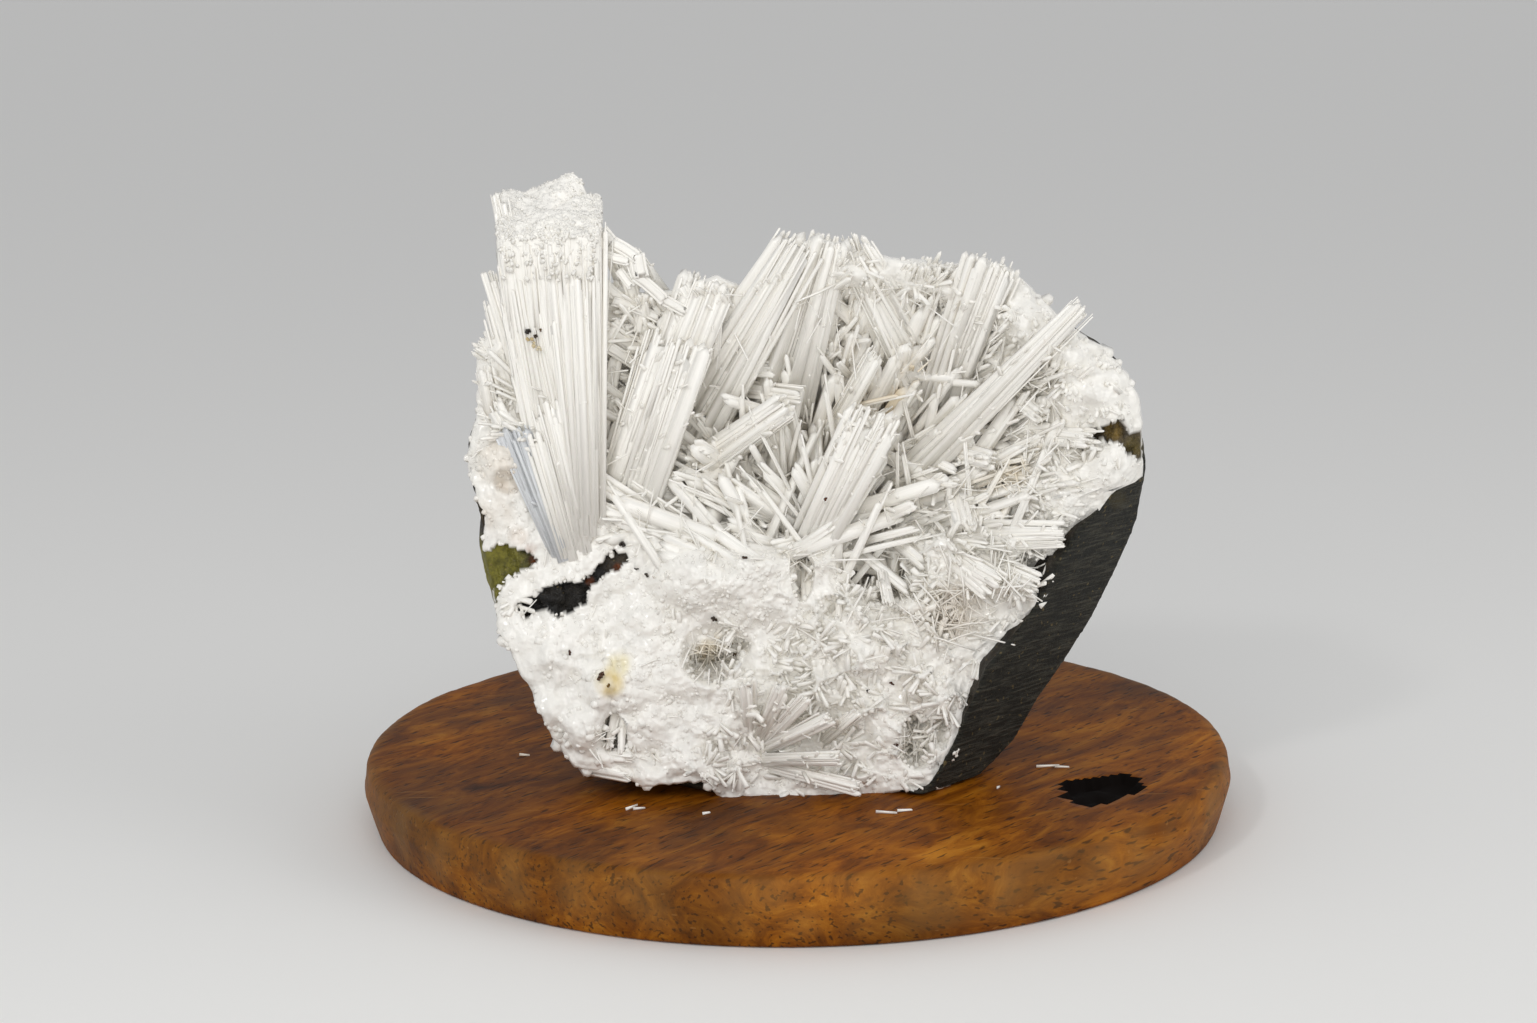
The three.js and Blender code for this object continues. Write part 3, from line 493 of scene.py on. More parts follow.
def grow(growth, rng, feet, tips, foot_width, tip_width, sides=8, levels=2, aspect=0.5, groove=0.25,
         ragged=0.5, point=0.0, bend=0.0, bow=None, roll=None, base=None, stained=True,
         shade=(0.97, 1.0)):
    """Adds crystals from feet to tips, each a grooved prism that ends ragged or in a point."""
    feet, tips = np.atleast_2d(feet).astype(float), np.atleast_2d(tips).astype(float)
    many = len(feet)
    foot_width = np.broadcast_to(foot_width, many).astype(float)
    tip_width = np.broadcast_to(tip_width, many).astype(float)
    aspect = np.broadcast_to(aspect, many).astype(float)
    length = np.linalg.norm(tips - feet, axis=1)
    along = unit(tips - feet)
    reference = np.where(np.abs(along[:, 2:3]) > 0.97, [[0.0, 1.0, 0.0]], [[0.0, 0.0, 1.0]])
    across = unit(np.cross(along, reference))
    through = np.cross(across, along)
    if roll is None:
        roll = rng.uniform(-0.45, 0.45, many)
    turn = np.broadcast_to(roll, many)[:, None]
    across, through = (across * np.cos(turn) + through * np.sin(turn),
                       through * np.cos(turn) - across * np.sin(turn))
    x, y = prism_section(rng, many, sides, groove)
    y = y * aspect[:, None]
    sway = unit(rng.normal(size=(many, 3))) * (bend * length)[:, None]
    if bow is not None:
        sway = np.broadcast_to(bow, (many, 3))
    drop = ragged * tip_width[:, None] * rng.random((many, sides))
    drop = np.minimum(drop, 0.35 * length[:, None])
    rings = []
    fibres = []
    offset = rng.uniform(0, 500, (many, 1, 3))
    for level in range(levels):
        t = level / (levels - 1)
        half = ((foot_width * (1 - t) + tip_width * t) / 2)[:, None]
        reach = np.broadcast_to((length * t)[:, None], (many, sides))
        if level == levels - 1:
            reach = reach - drop
        shift = (sway * 4 * t * (1 - t))[:, None, :]
        ring = (feet[:, None, :] + along[:, None, :] * reach[..., None] + shift
                + across[:, None, :] * (x * half)[..., None] + through[:, None, :] * (y * half)[..., None])
        rings.append(ring)
        fibres.append(np.stack([x * half, y * half, reach * 0.04], axis=-1) + offset)
    end = length + tip_width * (point - ragged * 0.5 * rng.random(many))
    end = np.maximum(end, 0.6 * length)
    rings.append((feet + along * end[:, None])[:, None, :])
    fibres.append(np.stack([0 * end, 0 * end, end * 0.04], axis=-1)[:, None, :] + offset)
    points = np.concatenate(rings, axis=1)
    grain = np.concatenate(fibres, axis=1)
    each = points.shape[1]
    base = WHITE if base is None else base
    tint = tinted(points, base) if stained else np.broadcast_to(base, points.shape)
    tint = tint * rng.uniform(*shade, (many, 1, 1))
    start = (np.arange(many) * each)[:, None]
    s = np.arange(sides)
    following = (s + 1) % sides
    quads = [np.stack([level * sides + s, level * sides + following,
                       (level + 1) * sides + following, (level + 1) * sides + s], axis=-1)
             for level in range(levels - 1)]
    quads = (start[:, :, None] + np.concatenate(quads)[None]).reshape(-1, 4)
    top = np.stack([(levels - 1) * sides + s, (levels - 1) * sides + following,
                    np.full(sides, levels * sides)], axis=-1)
    top = (start[:, :, None] + top[None]).reshape(-1, 3)
    bottom = start + s[::-1][None]
    growth.add(points, grain, tint, quads[:, ::-1], [top[:, ::-1], bottom[:, ::-1]])


def node(tree, kind, inputs=None, stops=None, **settings):
    """Adds a node: settings are set, inputs are linked from sockets or set, and stops fill a ramp."""
    made = tree.nodes.new(kind)
    for name, value in settings.items():
        setattr(made, name, value)
    for name, value in (inputs or {}).items():
        if isinstance(value, bpy.types.NodeSocket):
            tree.links.new(value, made.inputs[name])
        else:
            made.inputs[name].default_value = value
    if stops:
        elements = made.color_ramp.elements
        while len(elements) < len(stops):
            elements.new(0.5)
        for element, (place, code) in zip(elements, stops):
            element.position = place
            element.color = rgba(code)
    return made


def new_material(name, **shader_values):
    """A material with one Principled shader whose constant values are on its own sockets."""
    material = bpy.data.materials.new(name)
    material.use_nodes = True
    tree = material.node_tree
    tree.nodes.clear()
    shader = node(tree, "ShaderNodeBsdfPrincipled", shader_values)
    node(tree, "ShaderNodeOutputMaterial", {"Surface": shader.outputs["BSDF"]})
    return material, tree, shader


def scolecite_prisms():
    """Scolecite grown as prisms: milky white, with a silky sheen from its fine lengthwise striations."""
    material, tree, shader = new_material(
        "scolecite_grown_prisms",
        **{"IOR": 1.51},
    )
    fibre = node(tree, "ShaderNodeAttribute", attribute_name="fibre")
    tint = node(tree, "ShaderNodeAttribute", attribute_name="tint")
    striations = node(tree, "ShaderNodeTexNoise", {
        "Vector": fibre.outputs["Vector"], "Scale": 1.6, "Detail": 4.0, "Roughness": 0.65})
    lift = node(tree, "ShaderNodeMapRange", {
        "Value": striations.outputs["Fac"], "From Min": 0.25, "From Max": 0.75, "To Min": 0.95, "To Max": 0.99})
    colour = node(tree, "ShaderNodeMix", {
        "Factor": 1.0, 6: tint.outputs["Color"], 7: lift.outputs["Result"]},
        data_type="RGBA", blend_type="MULTIPLY")
    gloss = node(tree, "ShaderNodeMapRange", {
        "Value": striations.outputs["Fac"], "From Min": 0.3, "From Max": 0.7, "To Min": 0.12, "To Max": 0.34})
    bump = node(tree, "ShaderNodeBump", {
        "Height": striations.outputs["Fac"], "Strength": 0.35, "Distance": 0.0004})
    tree.links.new(colour.outputs[2], shader.inputs["Base Color"])
    tree.links.new(gloss.outputs["Result"], shader.inputs["Roughness"])
    tree.links.new(bump.outputs["Normal"], shader.inputs["Normal"])
    return material


def scolecite_druse():
    """Scolecite druse, a sugary crust of tiny ends: white, with small glints."""
    material, tree, shader = new_material(
        "scolecite_sugary_druse",
        **{"IOR": 1.51},
    )
    tint = node(tree, "ShaderNodeAttribute", attribute_name="tint")
    place = node(tree, "ShaderNodeTexCoord")
    grain = node(tree, "ShaderNodeTexVoronoi", {"Vector": place.outputs["Object"], "Scale": 480.0})
    patches = node(tree, "ShaderNodeTexNoise", {
        "Vector": place.outputs["Object"], "Scale": 180.0, "Detail": 4.0})
    shade = node(tree, "ShaderNodeMapRange", {
        "Value": patches.outputs["Fac"], "From Min": 0.3, "From Max": 0.7, "To Min": 0.84, "To Max": 0.96})
    colour = node(tree, "ShaderNodeMix", {
        "Factor": 1.0, 6: tint.outputs["Color"], 7: shade.outputs["Result"]},
        data_type="RGBA", blend_type="MULTIPLY")
    gloss = node(tree, "ShaderNodeMapRange", {"Value": grain.outputs["Distance"], "To Min": 0.06, "To Max": 0.26})
    bump = node(tree, "ShaderNodeBump", {
        "Height": grain.outputs["Distance"], "Strength": 0.6, "Distance": 0.0006})
    tree.links.new(colour.outputs[2], shader.inputs["Base Color"])
    tree.links.new(gloss.outputs["Result"], shader.inputs["Roughness"])
    tree.links.new(bump.outputs["Normal"], shader.inputs["Normal"])
    return material


def sunk(across, up):
    """Whether places lie in an opening of the crust, whose edges are ragged."""
    spot = np.stack([across, up, 0.0 * up], axis=-1)
    a = across + 0.9 * noise_at(spot, 3.0, 17) + 0.6 * noise_at(spot, 1.3, 19)
    b = up + 0.9 * noise_at(spot, 3.0, 27) + 0.6 * noise_at(spot, 1.3, 29)
    return np.any([inside(polygon, a, b) for polygon in OPENINGS], axis=0)


def make_crust_bed(settings):
    """The crust that the crystals grow from, with its openings down to the rock."""
    around, rings = settings.bed_around, settings.bed_rings
    bearing = np.linspace(0, 2 * math.pi, around, endpoint=False)
    share = np.linspace(0.008, 1.0, rings)
    way = np.stack([np.cos(bearing), np.sin(bearing)], axis=-1)
    outline = radius_from(CRUST_TABLE, bearing)
    edge_spots = np.concatenate([way * outline[:, None], 0 * outline[:, None]], axis=1)
    bare = np.clip((radius_from(SAWN_TABLE, bearing) - outline) / 9.0, 0, 1)
    outline = outline + (0.8 * noise_at(edge_spots, 5.0, 61) + 0.5 * noise_at(edge_spots, 2.0, 63)) * (1 - 0.35 * bare)
    across = HUB[0] + outline * share[:, None] * way[:, 0]
    up = HUB[1] + outline * share[:, None] * way[:, 1]
    depth = crust_face(across, up)
    spot = np.stack([across, up, depth], axis=-1)
    sugar = 1.0 - 0.75 * glassy_share(across, up)
    depth = depth + sugar * (0.55 * noise_at(spot, 1.9, 7) + 0.35 * noise_at(spot, 0.9, 9))
    flat = shown(spot)
    hole = sunk(flat[..., 0], flat[..., 1])
    rough = 2.0 * noise_at(spot * [1, 1, 0], 4.0, 67) + 0.9 * noise_at(spot * [1, 1, 0], 1.6, 69)
    depth = np.where(hole, depth + 3.4 + rough, depth)
    front = np.stack([across, up, depth], axis=-1)
    layers = [front]
    for wider, deeper in ((0.9, 2.0), (1.1, 4.5), (0.0, 7.5), (-4.0, 9.0)):
        radius = outline + wider * (1 - bare)
        a, b = HUB[0] + radius * way[:, 0], HUB[1] + radius * way[:, 1]
        layers.append(np.stack([a, b, depth[-1] + deeper], axis=-1)[None])
    for inner in (0.9, 0.7, 0.4, 0.1):
        radius = outline * inner
        a, b = HUB[0] + radius * way[:, 0], HUB[1] + radius * way[:, 1]
        layers.append(np.stack([a, b, np.maximum(hollow_floor(a, b) + 0.6, 14.0)], axis=-1)[None])
    layers = np.concatenate(layers)
    count = len(layers)
    k = np.arange(around)
    following = (k + 1) % around
    quads = np.array([np.stack([r * around + k, r * around + following,
                                (r + 1) * around + following, (r + 1) * around + k], axis=-1)
                      for r in range(count - 1)])
    holes = np.zeros((count - 1, around), bool)
    holes[:rings - 1] = hole[:-1] & hole[1:] & hole[:-1, following] & hole[1:, following]
    tint = tinted(layers)
    dark = np.zeros((count, around), bool)
    dark[:rings] = hole
    tint[dark] = basalt_tint(layers[dark], np.zeros(dark.sum()))
    growth = Growth()
    points = layers.reshape(-1, 3)
    growth.add(points, points, tint.reshape(-1, 3), quads[~holes])
    growth.rock_faces = [quads[holes]]
    centre = np.array([[HUB[0], HUB[1], front[0, :, 2].mean()], [HUB[0], HUB[1], layers[-1, :, 2].mean()]])
    fan_front = np.concatenate([centre[:1], front[0]])
    fan_back = np.concatenate([centre[1:], layers[-1]])
    triangles = np.stack([0 * k, following + 1, k + 1], axis=-1)
    growth.add(fan_front, fan_front, tinted(fan_front), None, [triangles])
    growth.add(fan_back, fan_back, tinted(fan_back), None, [triangles[:, ::-1]])
    return growth


def allowed(across, up, margin=0.0):
    """Places on the crust that crystals may grow from."""
    ok = share_out(across, up) < 1.0 - margin
    for polygon in OPENINGS:
        ok &= ~inside(polygon, across, up)
    return ok


def scatter(rng, count, margin=0.0, keep=None):
    """Random allowed places on the open face."""
    found = np.empty((0, 2))
    while len(found) < count:
        spots = rng.uniform((-106, -1), (114, 180), (count * 2, 2))
        ok = allowed(spots[:, 0], spots[:, 1], margin)
        if keep is not None:
            ok &= rng.random(len(spots)) < keep(spots[:, 0], spots[:, 1])
        found = np.concatenate([found, spots[ok]])
    return found[:count]


def in_hollow(across, up, size=1.0):
    """1 in the open hollow, 0 outside it, with a soft edge."""
    a, b, wide, high = DIPS[0][:4]
    off = np.sqrt(((across - a) / wide) ** 2 + ((up - b) / high) ** 2)
    return 1.0 - smooth(size - 0.12, size + 0.05, off)


def leaning(rng, normals, spread):
    """Directions that lean at random from the given ones."""
    return unit(normals + spread * rng.normal(size=normals.shape))


def place_feet(spots, sink):
    """Feet on the crust's face, sunk a little into it."""
    depth = crust_face(spots[:, 0], spots[:, 1])
    return np.column_stack([spots, depth + sink])


def trimmed(feet, tips, front=-3.0, edge=1.015):
    """Tips pulled back to stay behind the face's front and inside its outline."""
    tips = tips.copy()
    for _ in range(6):
        flat = shown(tips)
        out = (share_out(flat[:, 0], flat[:, 1]) > edge) | (tips[:, 2] < front)
        out |= saw_depth(tips[:, 0], tips[:, 1]) > tips[:, 2] + 1.5
        tips[out] = feet[out] + (tips[out] - feet[out]) * 0.78
    return tips


def above_crust(rng, tips, low, high):
    """Tips brought forward so that they stand at least a little in front of the crust."""
    tips = tips.copy()
    front = crust_face(tips[:, 0], tips[:, 1]) - rng.uniform(low, high, len(tips))
    tips[:, 2] = np.minimum(tips[:, 2], front)
    return tips


def glassy_share(across, up):
    """1 in the lower left and at the upper right rim, where the druse forms smooth glassy lumps, else 0."""
    lower_left = (1.0 - smooth(-62.0, -38.0, across)) * (1.0 - smooth(48.0, 66.0, up))
    foot = (1.0 - smooth(8.0, 20.0, up)) * (1.0 - smooth(-30.0, -12.0, across))
    upper_right = smooth(62.0, 78.0, across) * smooth(118.0, 132.0, up)
    return np.maximum(np.maximum(lower_left, foot), upper_right)


def make_druse(settings):
    """Tiny blunt crystal ends all over the open face, coarser in the middle and finer at the rim."""
    rng = np.random.default_rng(101)
    growth = Growth()
    spots = scatter(rng, settings.druse_count, 0.0,
                    lambda a, b: (1.0 - 0.85 * in_hollow(a, b)) * (1.0 - 0.8 * glassy_share(a, b)))
    normals = face_normal(spots[:, 0], spots[:, 1])
    share, saw = share_out(spots[:, 0], spots[:, 1]), saw_depth(spots[:, 0], spots[:, 1])
    over_rock = (share > 0.975) & (saw > -8.0) | (share > 0.88) & (saw > 0.0)
    spots, normals = spots[~over_rock], normals[~over_rock]
    glassy = glassy_share(spots[:, 0], spots[:, 1])
    size = (0.8 + 1.7 * rng.random(len(spots)) ** 2.5) * (1.0 + 0.9 * glassy)
    feet = place_feet(spots, 1.0 * size)
    tips = feet + leaning(rng, normals, 0.35) * (size * rng.uniform(0.8, 1.1, len(spots)))[:, None]
    grow(growth, rng, feet, tips, size, size * 0.7, sides=4, aspect=rng.uniform(0.7, 1.0, len(spots)),
         groove=0.0, ragged=0.12, point=0.3, roll=rng.uniform(0, math.pi, len(spots)))
    for a, b, size, code, depth in SPECKS:
        places = np.array([a, b]) + rng.normal(scale=0.45 * size, size=(5, 2))
        level = crust_face(places[:, 0], places[:, 1]) - 1.2 if depth is None else np.full(5, depth)
        feet = seen(np.column_stack([places, level]))
        tips = feet + leaning(rng, np.broadcast_to([0.0, 0.0, -1.0], (5, 3)), 0.6) * size
        grow(growth, rng, feet, tips, size, size * 0.7, sides=4, aspect=0.9, groove=0.0, ragged=0.3,
             base=np.array(rgb(code)), stained=False)
    return growth


def sprays_wanted(across, up):
    """How likely a small spray is: most in the lower middle and at the right, few in the smooth druse."""
    many = (across > -30) & (up < 58) | (across > 15)
    return (1.0 - in_hollow(across, up)) * (0.06 + 0.94 * many)


def make_face_sprays(settings):
    """Small blades that radiate from many centres over the lower half and the rim."""
    rng = np.random.default_rng(111)
    growth = Growth()
    centres = scatter(rng, settings.face_sprays, 0.03, sprays_wanted)
    feet, tips, widths = [], [], []
    for centre in centres:
        count = rng.integers(5, 13)
        bearing = rng.uniform(0, 2 * math.pi) + rng.uniform(-1.3, 1.3, count)
        rise = rng.uniform(0.15, 0.9, count)
        ways = unit(np.column_stack([np.cos(bearing), np.sin(bearing), -rise]))
        start = place_feet(centre + rng.normal(scale=0.8, size=(count, 2)), 1.6)
        feet.append(start)
        tips.append(start + ways * rng.uniform(3.5, 10, count)[:, None])
        widths.append(rng.uniform(0.6, 1.9, count))
    feet, tips, widths = np.concatenate(feet), np.concatenate(tips), np.concatenate(widths)
    tips = trimmed(feet, tips, -3.0, 0.995)
    grow(growth, rng, feet, tips, widths * 0.7, widths, sides=4, aspect=rng.uniform(0.3, 0.7, len(feet)),
         groove=0.0, ragged=0.8, roll=rng.uniform(-0.8, 0.8, len(feet)))
    return growth


def make_hollow_prisms(settings):
    """Prisms that fill the open hollow: most fan out from its foot, and the rest cross them."""
    rng = np.random.default_rng(202)
    growth = Growth()
    many = settings.blade_count
    middles = scatter(rng, many, 0.02, lambda a, b: in_hollow(a, b, 1.05))
    bearing = np.arctan2(middles[:, 1] - 84.0, middles[:, 0] - 6.0)
    crossing = rng.random(many) < 0.35
    bearing = bearing + np.where(crossing, rng.uniform(-1.5, 1.5, many), rng.normal(0, 0.28, many))
    way = np.column_stack([np.cos(bearing), np.sin(bearing)])
    length = rng.uniform(16, 52, many)
    width = 1.2 + 4.2 * rng.random(many) ** 1.7 + 2.6 * (rng.random(many) < 0.06)
    starts, ends = middles - way * (length * 0.5)[:, None], middles + way * (length * 0.5)[:, None]
    starts = np.where((share_out(starts[:, 0], starts[:, 1]) < 0.95)[:, None], starts, middles)
    feet = place_feet(starts, 3.0)
    bottom = crust_face(ends[:, 0], ends[:, 1]) - 1.0
    tips = np.column_stack([ends, bottom + np.minimum(4.0 - bottom, 0.0) * rng.beta(1.1, 1.5, many)])
    tips = trimmed(feet, tips, 1.0, 1.0)
    side = unit(np.cross(tips - feet, [0.0, 0.0, 1.0]))
    for offset, wide, reach in ((0.0, 1.0, 0.92), (0.32, 0.5, 1.0)):
        shift = side * (offset * width)[:, None] + [0.0, 0.0, -0.3 if offset else 0.0]
        stop = feet + (tips - feet) * (reach * rng.uniform(0.88, 1.0, many))[:, None] + shift
        grow(growth, rng, feet + shift, stop, width * wide, width * wide * rng.uniform(0.6, 0.95, many),
             aspect=rng.uniform(0.35, 0.7, many), groove=0.16, ragged=0.6, point=0.7,
             roll=rng.normal(0, 0.4, many))
    centres = scatter(rng, settings.spray_count, 0.03, lambda a, b: in_hollow(a, b, 1.06))
    outward = np.column_stack([centres - [4.0, 90.0], np.full(len(centres), -30.0)])
    axes = unit(unit(outward) + 0.4 * rng.normal(size=outward.shape))
    feet, tips, widths = [], [], []
    for centre, axis in zip(centres, axes):
        count = rng.integers(5, 12)
        start = place_feet(centre + rng.normal(scale=1.8, size=(count, 2)), 2.0)
        feet.append(start)
        tips.append(start + leaning(rng, np.broadcast_to(axis, (count, 3)), 0.25) * rng.uniform(8, 26, count)[:, None])
        widths.append(rng.uniform(0.6, 2.2, count))
    feet, tips, widths = np.concatenate(feet), np.concatenate(tips), np.concatenate(widths)
    tips = above_crust(rng, trimmed(feet, tips, 0.0, 1.0), 0.3, 6.0)
    grow(growth, rng, feet, tips, widths, widths * rng.uniform(0.5, 0.9, len(feet)),
         aspect=rng.uniform(0.4, 0.8, len(feet)), groove=0.15, ragged=0.5, point=0.9,
         roll=rng.uniform(-0.9, 0.9, len(feet)))
    return growth


def make_needles(settings):
    """Hair-fine needles that cross in the hollow and in the pockets of the lower half."""
    rng = np.random.default_rng(303)
    growth = Growth()
    spots = scatter(rng, settings.needle_count, 0.03, lambda a, b: 0.12 + 0.88 * in_hollow(a, b, 1.1))
    normals = face_normal(spots[:, 0], spots[:, 1])
    feet = place_feet(spots, 1.0)
    hollow = in_hollow(spots[:, 0], spots[:, 1], 1.1)
    length = rng.uniform(4, 9, len(spots)) + hollow * rng.uniform(2, 16, len(spots))
    tips = trimmed(feet, feet + leaning(rng, normals, 0.7) * length[:, None], -2.0, 1.0)
    for a, b, radius, many in NEEDLE_FANS:
        bearing, rise = rng.uniform(0, 2 * math.pi, many), rng.uniform(-0.1, 0.5, many)
        ways = unit(np.column_stack([np.cos(bearing), np.sin(bearing), -rise]))
        middle = np.array([a, b]) + rng.normal(scale=0.35 * radius, size=(many, 2))
        reach = rng.uniform(0.5, 1.1, many)[:, None] * radius / 2
        middle = np.column_stack([middle, crust_face(middle[:, 0], middle[:, 1]) - rng.uniform(1, 5, many)])
        feet = np.concatenate([feet, middle - ways * reach])
        tips = np.concatenate([tips, middle + ways * reach])
    tips = above_crust(rng, tips, 0.5, 3.0)
    width = rng.uniform(0.3, 0.75, len(feet))
    grow(growth, rng, feet, tips, width, width * 0.6, sides=4, levels=3, aspect=1.0, groove=0.0,
         ragged=0.2, point=1.0, bend=0.03, roll=rng.uniform(0, 3, len(feet)))
    return growth


def make_main_crystals(settings):
    """The crystals and sheaves that can be told apart on the specimen."""
    rng = np.random.default_rng(404)
    growth = Growth()
    for a0, b0, d0, a1, b1, d1, foot_width, tip_width in CRYSTALS:
        bundle(growth, rng, (a0, b0, d0), (a1, b1, d1), foot_width, tip_width, 0.7 * tip_width + 1.0)
    for foot, tip, foot_width, tip_width, thickness, ragged, shoots in SHEAVES:
        bundle(growth, rng, foot, tip, foot_width, tip_width, thickness, ragged, rooted=False, shoots=shoots,
               stained=False)
    return growth


def bundle(growth, rng, foot, tip, foot_width, tip_width, thickness, ragged=3.5, rooted=True, shoots=1.0, **options):
    """A sheaf: laths and fibres that fan a little round one core, stop at different heights, and bear shoots."""
    start, end = seen(foot), seen(tip)
    if rooted:
        start = seen((foot[0], foot[1], max(foot[2], float(crust_face(np.array(start[0]), np.array(start[1]))) + 4)))
    length = np.linalg.norm(end - start)
    along = unit(end - start)
    across = unit(np.cross(along, [0.0, 0.0, 1.0]))
    through = np.cross(across, along)
    squeeze = foot_width / tip_width
    short = min(ragged, 0.22 * length)
    core = 0.9 * tip_width
    grow(growth, rng, start, end - along * 0.5 * short, core * squeeze, core, sides=32, levels=3, ragged=0.25,
         aspect=0.8 * thickness / core, groove=0.14, roll=rng.normal(0, 0.05), **options)
    for density, thin, broad, fan, late in ((0.6, 1.2, 3.6, 0.01, 0.1), (2.4, 0.4, 1.1, 0.02, 0.6)):
        count = 3 + round(tip_width * density)
        u = np.linspace(-0.5, 0.5, count) + rng.uniform(-0.6, 0.6, count) / count
        v = np.where(rng.random(count) < 0.7, -0.36, 0.33) + rng.uniform(-0.06, 0.05, count)
        v = v * np.sqrt(1.0 - 2.4 * np.minimum(u * u, 0.3))
        feet = start + across * (u * foot_width)[:, None] + through * (v * thickness * max(squeeze, 0.5))[:, None]
        tips = end + across * (u * tip_width)[:, None] + through * (v * thickness)[:, None]
        tips = tips - along * (1.3 * short * rng.random(count) ** 2)[:, None]
        tips = tips + (across * rng.normal(0, fan, (count, 1)) + through * rng.normal(0, 0.5 * fan, (count, 1))) * length
        feet = feet + (tips - feet) * (late * rng.random(count) ** 2)[:, None]
        width = (thin + (broad - thin) * rng.random(count) ** 1.6) * min(max(tip_width / 8.0, 0.6), 1.15)
        grow(growth, rng, feet, tips, width * max(squeeze, 0.75), width, aspect=rng.uniform(0.45, 0.9, count),
             groove=0.14, ragged=0.7, point=0.6, roll=rng.normal(0, 0.3, count), **options)
    count = round(shoots * length * tip_width / 22)
    t, u = rng.uniform(0.2, 1.0, count) ** 0.7, rng.uniform(-0.5, 0.5, count)
    wide = foot_width + (tip_width - foot_width) * t
    feet = start + (end - start) * t[:, None] + across * (u * wide)[:, None] - through * 0.25 * thickness
    feet = feet - along * (short * (t > 0.85) * rng.random(count))[:, None]
    ways = unit(along * rng.uniform(0.2, 1.2, (count, 1)) + across * rng.normal(0, 0.7, (count, 1))
                - through * rng.uniform(0.0, 0.7, (count, 1)))
    tips = feet + ways * (rng.uniform(1.2, 6.5, count) * (1.0 - 0.6 * (t > 0.85)))[:, None]
    width = rng.uniform(0.4, 1.6, count)
    grow(growth, rng, feet, tips, width, width * 0.8, aspect=rng.uniform(0.5, 1.0, count), groove=0.1, ragged=0.6,
         point=0.5, roll=rng.uniform(-0.8, 0.8, count), **options)


def column_ring(t, angles, extra=0.0):
    """Points round the tall sheaf at a share of its height: it flares to the left, and its top slants."""
    foot, top = np.array(COLUMN_FOOT, float), np.array(COLUMN_TOP, float)
    flare = 1.0 - (1.0 - t) ** 2.2
    width = foot[3] + (top[3] - foot[3]) * flare
    up = foot[1] + (top[1] - foot[1]) * t
    depth = foot[2] + (top[2] - foot[2]) * t
    middle = seen(np.stack([COLUMN_RIGHT - width / 2, up, depth], axis=-1))
    thick = (foot[4] + (top[4] - foot[4]) * t) / 2 + extra
    square = (np.abs(np.cos(angles)) ** 9 + np.abs(np.sin(angles)) ** 9) ** (-1 / 9)
    u, v = np.cos(angles) * square, np.sin(angles) * square
    ridge = 5.0 * np.exp(-((u - 0.3) / 0.42) ** 2) - 3.2 * np.exp(-((u - 0.74) / 0.1) ** 2)
    rise = CROWN_RISE * v + ridge * smooth(-0.4, 1.0, v) + 0.6 * np.sin(9.0 * u + 3.0 * v)
    return middle + np.stack([u * (width / 2 + extra), rise * smooth(0.6, 1.0, t), v * thick], axis=-1)


